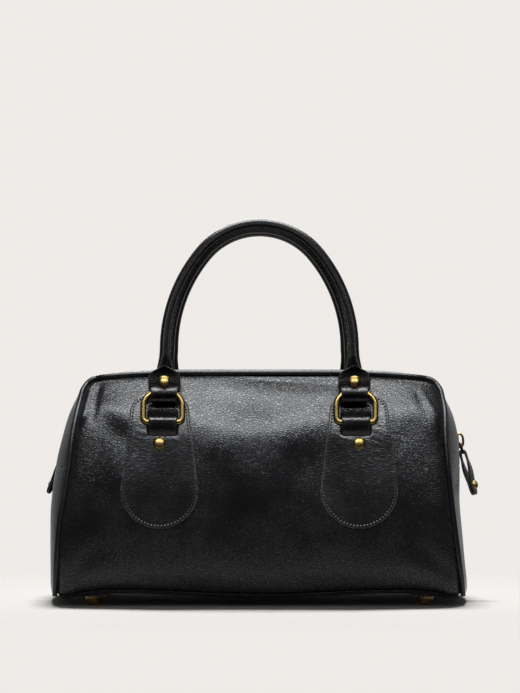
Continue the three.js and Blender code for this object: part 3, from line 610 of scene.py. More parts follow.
class Look:
    """A material with one shader, and short names for the nodes that vary it."""

    def __init__(self, name, colour, rough, **sockets):
        self.material = bpy.data.materials.new(name)
        self.material.use_nodes = True
        self.tree = self.material.node_tree
        self.shader = self.tree.nodes["Principled BSDF"]
        self.shader.inputs["Base Color"].default_value = (*colour, 1)
        self.shader.inputs["Roughness"].default_value = rough
        for socket, value in sockets.items():
            self.shader.inputs[socket.replace("_", " ")].default_value = value
        self.place = self.add("ShaderNodeTexCoord").outputs["Object"]

    def add(self, kind, inputs=None, **settings):
        return add_node(self.tree, kind, inputs, **settings)

    def stretched(self, scale):
        return self.add("ShaderNodeMapping", {"Vector": self.place, "Scale": scale}).outputs["Vector"]

    def noise(self, scale, detail=3.0, rough=0.55, vector=None):
        inputs = {"Vector": vector or self.place, "Scale": scale, "Detail": detail, "Roughness": rough}
        return self.add("ShaderNodeTexNoise", inputs).outputs["Fac"]

    def cells(self, vector, scale):
        inputs = {"Vector": vector, "Scale": scale}
        return self.add("ShaderNodeTexVoronoi", inputs, feature="DISTANCE_TO_EDGE").outputs["Distance"]

    def wave(self, scale, distortion, direction, detail=2.0):
        inputs = {"Vector": self.place, "Scale": scale, "Distortion": distortion, "Detail": detail}
        return self.add("ShaderNodeTexWave", inputs, bands_direction=direction).outputs["Fac"]

    def ranged(self, value, low, high, to_low=0.0, to_high=1.0):
        inputs = {"Value": value, "From Min": low, "From Max": high, "To Min": to_low, "To Max": to_high}
        return self.add("ShaderNodeMapRange", inputs).outputs["Result"]

    def math(self, operation, a, b):
        return self.add("ShaderNodeMath", {0: a, 1: b}, operation=operation).outputs[0]

    def plus(self, a, b):
        return self.math("ADD", a, b)

    def times(self, a, b):
        return self.math("MULTIPLY", a, b)

    def vector(self, operation, a, b):
        return self.add("ShaderNodeVectorMath", {0: a, 1: b}, operation=operation).outputs[0]

    def blend(self, share, a, b):
        a, b = (v if isinstance(v, bpy.types.NodeSocket) else (*v, 1) for v in (a, b))
        inputs = {MIX_SHARE: share, MIX_A: a, MIX_B: b}
        return self.add("ShaderNodeMix", inputs, data_type="RGBA").outputs[MIX_RESULT]

    def attribute(self, name):
        return self.add("ShaderNodeAttribute", attribute_name=name).outputs["Fac"]

    def set(self, socket, value):
        self.tree.links.new(value, self.shader.inputs[socket])

    def bump(self, height, strength, distance):
        inputs = {"Height": height, "Strength": strength, "Distance": distance}
        self.set("Normal", self.add("ShaderNodeBump", inputs).outputs["Normal"])


# Leather: how far pebbles are warped, and the scales of warp, small pebbles and pores, all in pebbles.
WARP, WARP_SCALE, SMALL_SCALE, PORE_SCALE = 1.5, 0.45, 2.3, 6
# Sizes of the clouds in the tone and of the spots of the lighter edges (rubbing, and painted highlight), in
# waves per metre.
CLOUD_SCALE, RUB_SCALE = 28, 220


def leather(name, colour, rough, cell, depth, crease=(1, 1, 1), fine=0.06, wear_and_highlight=0.5, valley=0.3):
    """Black leather: pebbles of a given size in metres, fine pores, and edges painted lighter: worn edges,
    and painted highlights where the edge value marks a patch rim or a handle seam.
    """
    look = Look(name, colour, rough, Specular_IOR_Level=0.5)
    lighter = tuple(c * 2.6 + 0.045 for c in colour)
    cloudy, darker = (tuple(c * share for c in colour) for share in (1.35, 0.55))
    bent = look.add("ShaderNodeTexNoise", {"Vector": look.place, "Scale": WARP_SCALE / cell, "Detail": 2.0})
    shift = look.vector("MULTIPLY", bent.outputs["Color"], (cell * WARP,) * 3)
    warped = look.vector("ADD", look.stretched(crease), shift)
    dome = look.ranged(look.cells(warped, 1 / cell), 0.0, 0.36)
    small = look.ranged(look.cells(warped, SMALL_SCALE / cell), 0.0, 0.3)
    pores = look.noise(PORE_SCALE / cell, 2.0)
    height = look.plus(look.plus(dome, look.times(small, 0.18)), look.times(pores, fine))
    uneven = look.ranged(look.noise(CLOUD_SCALE, 4.0), 0.3, 0.7)
    look.bump(look.times(height, look.ranged(uneven, 0.0, 1.0, 0.65, 1.0)), 1.0, depth)
    rubbed = look.ranged(look.noise(RUB_SCALE, 4.0), 0.35, 0.65, 0.2, 1.0)
    edge = look.times(look.attribute("edge"), rubbed)
    tone = look.blend(look.ranged(dome, 0.0, 0.5, 1.0, 0.0), look.blend(uneven, colour, cloudy), darker)
    # Lighter where the edge value is high: rubbed edges, and the painted highlights of patch rims and
    # handle seams.
    look.set("Base Color", look.blend(look.times(edge, wear_and_highlight), tone, lighter))
    worn = look.plus(look.ranged(uneven, 0.0, 1.0, rough - 0.05, rough + 0.07), look.times(edge, 0.1))
    look.set("Roughness", look.plus(worn, look.ranged(dome, 0.0, 0.4, 0.1, 0.0)))
    look.set("Specular IOR Level", look.ranged(dome, 0.0, 0.8, valley, 0.55))
    return Finish(look.material, name, "leather")


def brass(name, colour, dark, rough, kind="brass"):
    """Antique brass: darkened in patches, finely scratched."""
    look = Look(name, colour, rough, Metallic=1.0)
    cloud = look.ranged(look.noise(160, 5.0, 0.65), 0.38, 0.66)
    scratch = look.noise(900, 3.0, 0.6, look.stretched((1.0, 1.0, 0.12)))
    look.set("Base Color", look.blend(look.times(cloud, 0.55), colour, dark))
    worn = look.ranged(cloud, 0.0, 1.0, rough - 0.04, rough + 0.12)
    look.set("Roughness", look.plus(worn, look.times(scratch, 0.08)))
    look.bump(look.plus(scratch, look.times(cloud, 0.4)), 0.25, 0.00012)
    return Finish(look.material, "antique_brass", kind)


def thread(name):
    """Waxed thread: glossy where it is rubbed, matt where its edge value is 1."""
    look = Look(name, (0.006, 0.006, 0.007), 0.3, Specular_IOR_Level=0.45)
    look.set("Roughness", look.ranged(look.attribute("edge"), 0.0, 1.0, 0.3, 0.95))
    twist = look.wave(900.0, 2.0, "DIAGONAL", 1.0)
    look.set("Base Color", look.blend(twist, (0.003, 0.003, 0.0035), (0.012, 0.012, 0.013)))
    look.bump(twist, 0.3, 0.00005)
    return look.material


def weave(name):
    look = Look(name, (0.012, 0.012, 0.013), 0.85, Sheen_Weight=0.35, Sheen_Roughness=0.6)
    cloth = look.math("MAXIMUM", look.wave(420.0, 0.6, "Y"), look.wave(300.0, 0.8, "X"))
    fuzz = look.plus(cloth, look.times(look.noise(1500, 2.0), 0.4))
    look.set("Base Color", look.blend(cloth, (0.006, 0.006, 0.007), (0.02, 0.02, 0.021)))
    look.bump(fuzz, 0.7, 0.00025)
    return Finish(look.material, name, "cloth")


BODY = leather(
    "grained_leather", (0.0029, 0.0029, 0.0033), 0.23, 0.0018, 0.0001, (0.85, 0.85, 1.0), valley=0.22
)
TRIM = leather("piping_leather", (0.0022, 0.0022, 0.0026), 0.26, 0.0014, 0.00004, fine=0.1)
FLAT = leather(
    "smooth_leather", (0.0036, 0.0036, 0.004), 0.26, 0.0018, 0.0001, (0.4, 0.5, 1.0), fine=0.1, wear_and_highlight=0.8
)
ROLLED = leather(
    "handle_leather", (0.0045, 0.0045, 0.0048), 0.28, 0.0016, 0.00006, (1, 1, 0.5), fine=0.1, wear_and_highlight=0.8
)
TAPE = weave("zip_tape")
THREAD = thread("black_thread")
METAL = brass("antique_brass", (0.21, 0.148, 0.05), (0.06, 0.04, 0.015), 0.26)
# The feet's bronze is painted lighter than the brass, standing in for light the feet miss in the shade
# under the bag.
BRONZE_PAINTED_LIGHT = brass("dark_bronze", (0.32, 0.2, 0.08), (0.12, 0.07, 0.03), 0.35, "metal")
WIRE = brass("link_bronze", (0.08, 0.048, 0.02), (0.03, 0.018, 0.008), 0.3)


# Body.
def panel(back):
    edge = Outline(PANEL_GROW)
    low = BASE_Z - PANEL_DROP + LOW_CORNER * (1 - np.cos(np.linspace(0, math.pi / 2, 10)))
    sides = np.linspace(low[-1], edge.bend, 116)[1:]
    corner = np.linspace(TAPER, math.pi / 2, 14)[1:]
    zs = np.concatenate([low, sides, edge.centre_z + edge.radius * np.sin(corner)])[:, None]
    t = np.linspace(-1, 1, 201)
    round_in = LOW_CORNER - np.sqrt(LOW_CORNER**2 - np.clip(low[-1] - zs, 0, None) ** 2)
    half = edge.half_width(zs) - round_in
    x = half * ((1 - CROWDING) * t + CROWDING * np.sin(math.pi / 2 * t))
    above, below = edge.centre_z + edge.radius - zs, 1.2 * (zs - BASE_Z + PANEL_DROP)
    near = np.minimum((half - np.abs(x)) * math.cos(TAPER), np.minimum(above, below))
    depth = panel_face(x, zs, back == 1) - EDGE_TURN * np.exp(-near / EDGE_TURN_RUN) - pocket(x, zs)
    fade = np.maximum(1 - (zs - BASE_Z) / WAVE_FADE, 0) ** 2
    height = zs + (base_lift(x) - lobe(x)) * fade - droop(x, zs)
    outer, inner = (stacked(x, -back * d, height) for d in (depth, depth - LEATHER))
    worn = PANEL_WEAR * np.exp(-near / PANEL_WEAR_RUN)
    share = np.concatenate([worn, worn[:, ::-1]], axis=1).reshape(-1)
    rings = np.concatenate([outer, inner[:, ::-1]], axis=1)
    cover(f"{FACE[back]}_panel", [loft(rings)], BODY, edge=share, soft=True)


def band(stations, ys, low, high, end=None):
    outer = gusset(stations, ys, high, end)
    inner = gusset(stations, ys[:, ::-1], low, end)
    return loft(np.concatenate([outer, inner], axis=1))


def seam_reach(stations):
    return (seam_depth(stations[:, 0], stations[:, 1]) - PIPING_R + SEAM_LAP)[:, None]


def zip_strip(back):
    stations = ZIP_STATIONS
    reach = seam_reach(stations)
    t = np.linspace(0, 1, 31)
    ys = -reach + (reach - ZIP_HALF) * t
    offset = ZIP_RIPPLE * np.sin(stations[:, 1:2] * 0.21 + stations[:, 0:1] * 0.07) * np.sin(math.pi * t)
    lip = -SEAM_LIP * np.exp(-t * SEAM_LIP_RATE) - ZIP_LIP * np.exp(-(1 - t) * ZIP_LIP_RATE)
    part = band(stations, ys, -LEATHER / 2, LEATHER / 2 + offset + lip)
    cover(f"zip_strip_{FACE[back]}", [part], BODY, flip=(1, back), soft=True)
    line_y = np.full((len(stations), 1), -ZIP_HALF - ZIP_STITCH_IN)
    line, above, middle = (gusset(stations, line_y, up)[:, 0] for up in (LEATHER / 2 + 0.12, 2.0, 0.0))
    bars = stitches(line, above - middle, *ZIP_STITCH)
    piece(f"zip_stitches_{FACE[back]}", bars, THREAD, "zip_tape", flip=(1, back), soft=True)


def end_panel(right):
    stations = end_stations(END_LOW, ZIP_END_Z, 90)
    t = np.linspace(-1, 1, 101)
    z = stations[:, 1:2]
    sway = END_SWAY * np.sin(z * 0.06 + 1.6 * t + right) * (1 - t**2)
    ripples = END_RIPPLE * np.sin(z * 0.12 - 3 * t + np.sin(z * 0.05))
    tuck = SIDE_TUCK * np.exp(-(1 - np.abs(t)) * 32) + TOP_TUCK * np.exp(z - ZIP_END_Z)
    high = LEATHER / 2 + sway + ripples - tuck - LOW_TUCK * np.exp(-(z - END_LOW) / 3.0)
    part = band(stations, seam_reach(stations) * t, -LEATHER / 2, high, right)
    cover(f"end_panel_{SIDE[right]}", [part], BODY, flip=(right, 1), soft=True)


def pipings(back):
    x, z = SEAM_EDGE.stations(END_LOW - 0.2, 90, 16, 70).T[:2]
    part = tube(stacked(x, -seam_depth(x, z), z - droop(x, z)), PIPING_R + 0.05, PIPING_R + 0.05, 16)
    cover(f"piping_{FACE[back]}", [part], TRIM, flip=(1, back), soft=True)
    half = PANEL_EDGE.half_width(BASE_Z) - LOW_CORNER + 0.8
    x = np.linspace(-half, half, 160)
    z = BASE_Z + base_lift(x) - 0.7 * lobe(x) - BASE_PIPING_R - GAP
    part = tube(stacked(x, LEATHER / 2 - panel_depth(x, BASE_Z), z), BASE_PIPING_R, BASE_PIPING_R, 12)
    cover(f"base_piping_{FACE[back]}", [part], TRIM, flip=(1, back), soft=True)


def base():
    z = PLATE_Z + PLATE_THICK / 2
    side_x = float(SEAM_EDGE.half_width(z))
    out = float(min(bulge_left(z), bulge_right(z)))
    inside = LEATHER / 2 + GAP + 0.1
    depth = float(seam_depth(side_x, z))
    reach = side_x - inside + out * 0.98
    x = reach * np.sin(np.linspace(-math.pi / 2, math.pi / 2, 241))[:, None]
    far = np.abs(x)
    room = 1 - (far - side_x + inside) / out
    at_end = np.where(room < 1, depth * np.sqrt(np.clip(room, 0.01, None)), np.inf)
    at_side = panel_depth(x, BASE_Z) - LEATHER / 2 - BASE_PIPING_R - GAP
    corner = np.where(far > PLATE_CORNER_X, depth - PIPING_R - 0.4, np.inf)
    y = np.minimum(np.minimum(at_end, at_side), corner)
    t = np.linspace(-1, 1, 61)
    sag = between(far, SAG_FROM - SAG_RAMP, SAG_FROM, SAG_TO, SAG_TO + SAG_RAMP)
    swell = PLATE_SWELL * np.cos(x / 34) * (1 - t**2) * (1 - sag)
    low = stacked(x, y * t, PLATE_Z + 0.1 - SAG_DEPTH * sag + swell)
    high = stacked(x, y * t[::-1], PLATE_Z + PLATE_THICK - SAG_DEPTH * sag)
    part = loft(np.concatenate([low, high], axis=1))
    piece("base_leather", [part], BODY.look, BODY.slot, nodes=["base_panel"], soft=True)


# Patches that carry the rings.
def corner_name(right, back):
    return f"{FACE[back]}_{SIDE[right]}"


def patch_outline(count):
    """Points of a patch's outline round from its top, as x from the patch's middle and z."""
    neck = arc(1, -90, 90, 60)
    size = [PATCH_NECK_HALF, PATCH_TOP - PATCH_NECK_Z]
    neck = np.sign(neck) * np.abs(neck) ** NECK_POWER * size + [0, PATCH_NECK_Z]
    low = arc(PATCH_LOW_R, 90, 270, 90, (0, PATCH_LOW + PATCH_LOW_R))
    return evenly(np.concatenate([neck, low, neck[:1]]), count + 1)[:-1]


def patch_bow(z):
    """How far a patch stands off the panel: most below the ring, not at all at its ends."""
    above = np.clip((PATCH_TOP - z) / (PATCH_TOP - BOW_Z), 0, 1) ** 1.1
    return PATCH_BOW * np.where(z < BOW_Z, smooth(z, BOW_LOW, BOW_FULL) ** 1.5, above)


# Loops of a patch's mesh: distances in from its edge, then shares of the way to the window.
PATCH_INSETS = [0.0, 0.1, 0.25, 0.5, 0.9, 1.3, 1.7, 2.1, 2.5, 2.9, 3.5, 4.4, 5.6]
PATCH_SHARES = [*np.linspace(0.06, 0.83, 12), 0.89, 0.94, 0.975, 1.0]


def patch(right, back):
    front = back == 1
    name = "patch_" + corner_name(right, back)
    middle = np.array([RING_X - PATCH_X, (WINDOW_LOW + WINDOW_HIGH) / 2])
    rim = patch_outline(260)
    length = np.linalg.norm(rim - middle, axis=1)
    ray = (rim - middle) / length[:, None]
    box = np.array([WINDOW_HALF, (WINDOW_HIGH - WINDOW_LOW) / 2])
    hole = 1 / ((np.abs(ray / box) ** 8).sum(axis=1)) ** (1 / 8)
    start = length - PATCH_INSETS[-1]
    reach = [length - d for d in PATCH_INSETS] + [start - (start - hole) * s for s in PATCH_SHARES]
    fine_line = patch_outline(900)
    top, under, worn = [], [], []
    for far in reach:
        flat = middle + ray * far[:, None]
        x, z = right * (PATCH_X + flat[:, 0]), flat[:, 1]
        edge = np.linalg.norm(flat[:, None] - fine_line, axis=2).min(axis=1)
        drop = GROOVE * bell(edge - STITCH_IN, GROOVE_HALF) + RIM_ROUND * bell(edge, RIM_RUN)
        drop = drop + LIP_DROP * (1 - smooth(far - hole, 0.0, LIP_RUN))
        swell = PATCH_SWELL * smooth(edge, 0.5, 12)
        crinkle = CRINKLE * np.sin(z * 1.1 + 0.35 * x) * np.sin(x * 0.16) * smooth(edge, 4, 9)
        face = panel_face(x, z, front)
        top.append(stacked(x, -back * (face + PATCH_OUT + patch_bow(z) + swell + crinkle - drop), z))
        under.append(stacked(x, -back * (face - PATCH_UNDER), z))
        # The rim is painted lighter: partly a worn edge, partly a painted highlight where the bevel would
        # catch the light.
        worn.append(RIM_WEAR_AND_HIGHLIGHT * np.exp(-edge / RIM_WEAR_AND_HIGHLIGHT_RUN))
    rim_wear_and_highlight = np.concatenate(worn[::-1] + worn)
    cover(name, [loft(under[::-1] + top, closed=True)], FLAT, edge=rim_wear_and_highlight)
    step = unit(np.roll(rim, -1, 0) - np.roll(rim, 1, 0))
    flat = rim + STITCH_IN * stacked(step[:, 1], -step[:, 0])
    flat = np.concatenate([flat, flat[:1]])
    x, z = right * (PATCH_X + flat[:, 0]), flat[:, 1]
    line = stacked(x, -back * (panel_face(x, z, front) + PATCH_OUT + patch_bow(z)), z)
    slope = (depth_at(z + 1) - depth_at(z - 1)) / 2
    bars = stitches(line, stacked(0.0, -back, -slope), *PATCH_STITCH)
    dull = smooth(joined(bars)[0][:, 2], DULL_FROM_Z, DULL_TO_Z)
    piece(name + "_stitches", bars, THREAD, FLAT.slot, edge=dull)


# Fittings at each corner of the handles.
def handle_body(back):
    return f"{FACE[back]}_handle_set"


def fitting(kind, right, back, part, finish, body="bag", **more):
    cover(f"{kind}_{corner_name(right, back)}", [part], finish, body, flip=(right, back), **more)


def d_ring(right, back):
    flat = ring_line(RING_HALF, RING_HEIGHT, RING_HEAD_R, 14, 0, RING_FOOT_R, 8)
    flat = evenly(np.concatenate([flat, flat[:1]]), 97)[:-1]
    place = leaning(RING_X, HINGE, RING_LEAN)
    points = place.points(flat[:, 0], flat[:, 1], np.zeros(len(flat)))
    part = tube(points, RING_WIRE_R, RING_WIRE_R, 18, across=place.out, closed=True)
    fitting("d_ring", right, back, part, METAL, handle_body(back))


# A ring loop's way from the patch to the top of the ring's bar, as (up, out).
LOOP_LINE = [(-12.6, -4.8), (-11.2, -3.0), (-9.5, -0.7), (-7.5, 1.2), (-5, 2.5), (-2.5, 3.15)]


def ring_loop(right, back):
    radius = LOOP_INSIDE + STRAP / 2
    line = np.concatenate([
        curve([*LOOP_LINE, (0, radius)], 30)[:-1],
        arc(radius, 0, 180, 20),
        [(-2.2, -radius), (-4.5, -radius)],
    ])
    part, near = strap(line, LOOP_HALF, STRAP, leaning(RING_X, HINGE, LOOP_LEAN), puff=0.15)
    fitting("ring_loop", right, back, part, FLAT, edge=near * 0.5)


# Half width of a handle tab up from its fold, and how far its front lifts off the handle.
TAB_HALF = [
    (0, 10.2), (1, 10.25), (3, 10.6), (5, 11.4), (7, 12.1), (9.6, 12.6), (13, 12.7),
    (15.5, 12.5), (17.3, 11.8), (19, 10.4), (20.4, 8.4), (22.3, 4.2), (TAB_TIP, 0.3),
]
TAB_LIFT = [
    (0, 1.3), (1.5, 1.25), (3, 0.85), (4.5, 0.2), (6, -0.1), (10, 0), (16, 0), (20, 0.6),
    (TAB_TIP, 2.2), (30, 4.6),
]
tab_lift = spline(*zip(*TAB_LIFT))


def handle_tab(right, back):
    radius = TAB_INSIDE + STRAP / 2
    up = np.linspace(TAB_TIP, 0, 60)[:-1]
    roll = arc(radius, 360, 180, 22)
    roll = roll * [TAB_ROLL, 1] + [0, TAB_ROLL_OUT] * (1 + roll[:, 1:] / radius)
    rear = stacked(np.linspace(0, 15, 22)[1:], -radius)
    line = np.concatenate([stacked(up, radius + tab_lift(up)), roll, rear])
    half = np.interp(line[:, 0], *zip(*TAB_HALF))
    place = leaning(TAB_X, TAB_FOLD, TAB_LEAN)
    part, near = strap(line, half, STRAP, place, puff=0.2)
    fitting("handle_tab", right, back, part, FLAT, handle_body(back), edge=near * 0.6)
    seat = Place(place.points(0, TAB_RIVET_UP, TAB_INSIDE + STRAP + 0.1), place.up, place.out)
    rivet = lathe(dome_profile(TAB_RIVET_R, RIVET_HEIGHT), 36, seat)
    fitting("tab_rivet", right, back, rivet, METAL, handle_body(back))


def patch_rivet(right, back):
    rise = float(depth_at(PATCH_RIVET_Z + 2) - depth_at(PATCH_RIVET_Z - 2))
    depth = float(panel_depth(PATCH_X, PATCH_RIVET_Z)) + PATCH_RIVET_OUT
    place = leaning(PATCH_X, (-depth, PATCH_RIVET_Z), math.atan2(-rise, 4))
    part = lathe(dome_profile(PATCH_RIVET_R, RIVET_HEIGHT), 36, place)
    fitting("patch_rivet", right, back, part, METAL)


def foot(right, back):
    rise, spread = np.radians(np.linspace(6, 90, 15)), FOOT_R - FOOT_FLAT
    profile = [(0, 0), (FOOT_FLAT, 0)]
    profile += [(FOOT_FLAT + spread * math.sin(a), FOOT_HEIGHT * (1 - math.cos(a))) for a in rise]
    profile += [(FOOT_R, FOOT_HEIGHT + 0.4), (0, FOOT_HEIGHT + 0.4)]
    place = Place((right * FOOT_X, -back * FOOT_Y, 0), Y_AXIS, Z_AXIS)
    # Painted light: the feet's lighter bronze makes up for the shade under the bag.
    cover(f"foot_{corner_name(right, back)}", [lathe(profile, 40, place)], BRONZE_PAINTED_LIGHT)


# Handles.
def handle_y(z):
    low, high = HANDLE_BEND
    steep, upright = math.tan(TAB_LEAN), math.tan(HANDLE_LEAN)
    bent = np.clip(z, low, high) - low
    turn = steep * bent + (upright - steep) * bent**2 / (2 * (high - low))
    straight = steep * (np.minimum(z, low) - TAB_FOLD[1])
    return TAB_FOLD[0] + straight + turn + upright * np.maximum(z - high, 0)


def along_seam(turn, height, at, half):
    off = (np.degrees(turn) - SEAM_TURN + 180) % 360 - 180
    return height * bell(off - at, half)


def handle_section(turn):
    """The lapped seam: a low ridge beside a groove."""
    return 1 + along_seam(turn, *SEAM_RIDGE) + along_seam(turn, *SEAM_GROOVE)


def handle(back):
    name, body, flip = f"handle_{FACE[back]}", handle_body(back), (1, back)
    centre_z, spread = HANDLE_TOP_Z - HANDLE_TOP_R, HANDLE_LEG_R - HANDLE_TOP_R
    leg_x = -spread * math.sin(HANDLE_TURN)
    leg_z = centre_z - spread * math.cos(HANDLE_TURN)
    zs = np.linspace(HANDLE_END_Z, leg_z, 12, endpoint=False)
    low = stacked(np.interp(zs, [HANDLE_END_Z, leg_z], [TAB_X, leg_x + HANDLE_LEG_R]), zs)
    legs = arc(HANDLE_LEG_R, 90, math.degrees(HANDLE_TURN), 24, (leg_x, leg_z))[:-1]
    top = arc(HANDLE_TOP_R, math.degrees(HANDLE_TURN), 0, 20, (0, centre_z))
    right = np.concatenate([low, legs, top])
    x, z = evenly(np.concatenate([right, right[-2::-1] * [-1, 1]]), 240).T
    points = stacked(x, handle_y(z), z)
    ends = 1 - smooth(z, FLAT_Z, ROUND_Z)
    high, wide = (HANDLE_R + (size - HANDLE_R) * ends for size in (END_WIDE, END_THIN))
    # The colour is painted lighter along the seam's ridge: rubbing, and a painted highlight.
    worn = np.tile(along_seam(around(HANDLE_SIDES), *SEAM_WEAR_AND_HIGHLIGHT), len(points))
    part = tube(points, high, wide, HANDLE_SIDES, profile=handle_section)
    cover(name, [part], ROLLED, body, flip=flip, edge=worn)
    side, up = axes_along(points, Y_AXIS)
    turn = math.radians(SEAM_TURN - SEAM_STITCH)
    to_up, to_side = up * math.cos(turn), side * math.sin(turn)
    line = points + to_up * high[:, None] + to_side * wide[:, None]
    keep = z > SEAM_FROM_Z
    bars = stitches(line[keep], (to_up + to_side)[keep], *HANDLE_STITCH, tilt=0.35)
    piece(name + "_stitches", bars, THREAD, ROLLED.slot, body, flip=flip)


# Zip and its pulls. Sections of a tooth: y, half width, low and high.
TOOTH = [
    (3.0, 0.5, -0.9, 0.3), (2.6, 0.62, -1.0, 0.75), (0.2, 0.6, -1.0, 0.9),
    (-0.7, 0.5, -0.8, 0.75), (-0.9, 0.3, -0.5, 0.45),
]


def tooth_ring(wide, low, high):
    half = [(wide, low), (wide, high - 0.2), (wide * 0.55, high)]
    return half + [(-a, n) for a, n in half[::-1]]


def zip_chain():
    stations = ZIP_STATIONS
    tape_top = -LEATHER / 2 - 0.1
    ys = np.broadcast_to(np.linspace(-TAPE_HALF, TAPE_HALF, 25), (len(stations), 25))
    cover("zip_tape", [band(stations, ys, tape_top - TAPE_THICK, tape_top)], TAPE)
    level = np.full((len(stations), 1), CHAIN_HALF)
    line, above = (gusset(stations, level, up)[:, 0] * [1, 0, 1] for up in (0.0, 1.0))
    reach = reach_of(line)
    parts = []
    for k in range(int(reach[-1] / TOOTH_PITCH)):
        at = (k + 0.5) * TOOTH_PITCH
        centre = at_reach(at, reach, line)
        normal = unit(at_reach(at, reach, above) - centre)
        along = np.cross(Y_AXIS, normal)
        way = 1 if k % 2 else -1
        parts.append(loft([
            [centre + way * y * Y_AXIS + a * along + n * normal for a, n in tooth_ring(wide, low, high)]
            for y, wide, low, high in TOOTH
        ]))
    cover("zip_teeth", parts, METAL, sharp=30)


def zip_place(right):
    chain_top = CHAIN_THICK - LEATHER / 2 + GAP
    rows = end_stations(SLIDER_Z - 3, SLIDER_Z + 3, 3)
    low, at, high = gusset(rows, np.full((3, 1), CHAIN_HALF), chain_top, right)[:, 0] * [1, 0, 1]
    up = unit(high - low)
    return at, up, np.cross(Y_AXIS, up)


def hanging(degrees):
    turn = math.radians(degrees)
    return np.array([math.sin(turn), 0, -math.cos(turn)])


def twisted(points, top, down, twist):
    """Points turned about a strap's own line, from its fold down to its belly."""
    far = (points - top) @ down
    core = top + far[:, None] * down
    off = points - core
    turn = -np.radians(twist) * smooth(far, TWIST_FROM, TWIST_TO)
    return core + off * np.cos(turn)[:, None] + np.cross(down, off) * np.sin(turn)[:, None]


# The slider's outline as (up, out), its sections as (side, scale), and the line of its bridge.
SLIDER_HALF = np.array([(7, 0.2), (7.1, 1.4), (6.2, 2.7), (4.5, 3.1)])
SLIDER = np.concatenate([SLIDER_HALF * [-1, 1], SLIDER_HALF[::-1]])
SLIDER_ROWS = [(-4.5, 0.9), (-4.2, 0.97), (-2.6, 1.0), (2.6, 1.0), (4.2, 0.97), (4.5, 0.9)]
BRIDGE = [(5.2, 2.6), (5.3, 4.6), (3.2, 6.3), (0, 6.6), (-3.2, 6.3), (-5.3, 4.6), (-5.2, 2.6)]
# One side of a pull strap, from its end up to its fold: way down and half the gap between its layers.
PULL_LINE = [
    (PULL_LENGTH, 1.1), (PULL_ROUND, 1.1), (24, 1.3), (20, 1.8), (14, 2.3), (7, 2.3), (0, PULL_FOLD_R),
]


def zip_slider(right):
    place = Place(*zip_place(right), Y_AXIS)
    up, out = SLIDER.T
    low = out[0]
    side, grow = np.array(SLIDER_ROWS).T[..., None]
    body = loft(place.points(side, up * grow, low + (out - low) * grow))
    arch = curve(BRIDGE, 40)
    bridge = tube(place.points(np.zeros(40), arch[:, 0], arch[:, 1]), 0.95, 1.2, 14, across=Y_AXIS)
    cover(f"zip_slider_{SIDE[right]}", [body, bridge], METAL, flip=(right, 1), sharp=40)


def zip_pull(right):
    name, pull, flip = SIDE[right], PULLS[right], (right, 1)
    at, up, out = zip_place(right)
    link_down, down = hanging(pull.link_turn), hanging(pull.turn)
    link_top = at - LINK_DOWN * up + LINK_OUT * out
    flat = ring_line(LINK_HALF, 0, LINK_CORNER, 6, -LINK_LENGTH, LINK_CORNER, 6)
    points = link_top + flat[:, :1] * Y_AXIS - flat[:, 1:] * link_down
    link = tube(points, LINK_WIRE, LINK_WIRE, 12, across=np.cross(Y_AXIS, link_down), closed=True)
    cover(f"pull_link_{name}", [link], WIRE, flip=flip)

    top = link_top + LINK_LENGTH * link_down
    pull_out = np.cross(down, Y_AXIS)
    outer = curve(PULL_LINE, 40)
    outer[:, 1] *= np.interp(outer[:, 0], [PRESS_FROM, PRESS_TO], [1, pull.pressed])
    line = np.concatenate([outer, arc(PULL_FOLD_R, 360, 180, 14)[1:-1], outer[::-1] * [1, -1]])
    far = line[:, 0]
    tip = (far - PULL_ROUND) / (PULL_LENGTH - PULL_ROUND + 0.05)
    rounded = PULL_HALF * np.sqrt(np.clip(1 - tip**2, 0.004, 1))
    half = np.where(far > PULL_ROUND, rounded, np.interp(far, [-3, 8], [PULL_NECK, PULL_HALF]))
    (points, faces), near = strap(line, half, pull.thick, Place(top, down, pull_out, Y_AXIS), puff=0.1)
    part = (twisted(points, top, down, pull.twist), faces)
    cover(f"pull_strap_{name}", [part], FLAT, flip=flip, edge=near * 0.5)
    turn = math.radians(pull.twist)
    across = Y_AXIS * math.cos(turn) - pull_out * math.sin(turn)
    out = pull_out * math.cos(turn) + Y_AXIS * math.sin(turn)
    seat = Place(top + PULL_RIVET * down + PULL_RIVET_OUT * out, -down, out, across)
    rivet = lathe(dome_profile(pull.rivet_r, pull.rivet_height), 28, seat)
    cover(f"pull_rivet_{name}", [rivet], METAL, flip=flip)


# Stage, in metres.
PALE = (0.86, 0.83, 0.805)
CAMERA_X, CAMERA_Y, CAMERA_Z = 0.0005, -2.516, 0.203
SENSOR, LENS = 36.0, 162.5
FLOOR_SIDES, FLOOR_RADII = 96, [0.001, 0.2, 0.4, 0.7, 1.0, 1.4, 2.0]
FADE_FROM, FADE_TO, FADE_SHAPE = 0.24, 0.5, (1.0, 1.6, 1.0)


def make_camera():
    data = bpy.data.cameras.new("camera")
    data.sensor_width, data.lens = SENSOR, LENS
    data.clip_start, data.clip_end = 0.05, 50.0
    obj = bpy.data.objects.new("camera", data)
    obj.location = (MIDDLE_X + CAMERA_X, CAMERA_Y, CAMERA_Z)
    obj.rotation_euler = (math.pi / 2, 0, 0)
    bpy.context.scene.collection.objects.link(obj)
    bpy.context.scene.camera = obj


def flagged(name, things, state):
    """A set of things that a light falls on alone, or that flags keep it off."""
    group = bpy.data.collections.new(name)
    for thing in things:
        group.objects.link(thing)
    for entry in group.collection_objects:
        entry.light_linking.link_state = state
    return group


def softbox(name, place, aim, size, power, receivers, colour=(1, 1, 1)):
    data = bpy.data.lights.new(name, "AREA")
    data.shape, data.size, data.size_y = "RECTANGLE", size[0], size[1]
    data.energy, data.color = power, colour
    obj = bpy.data.objects.new(name, data)
    obj.location = place
    obj.rotation_euler = (Vector(aim) - Vector(place)).to_track_quat("-Z", "Y").to_euler()
    obj.light_linking.receiver_collection = receivers
    bpy.context.scene.collection.objects.link(obj)


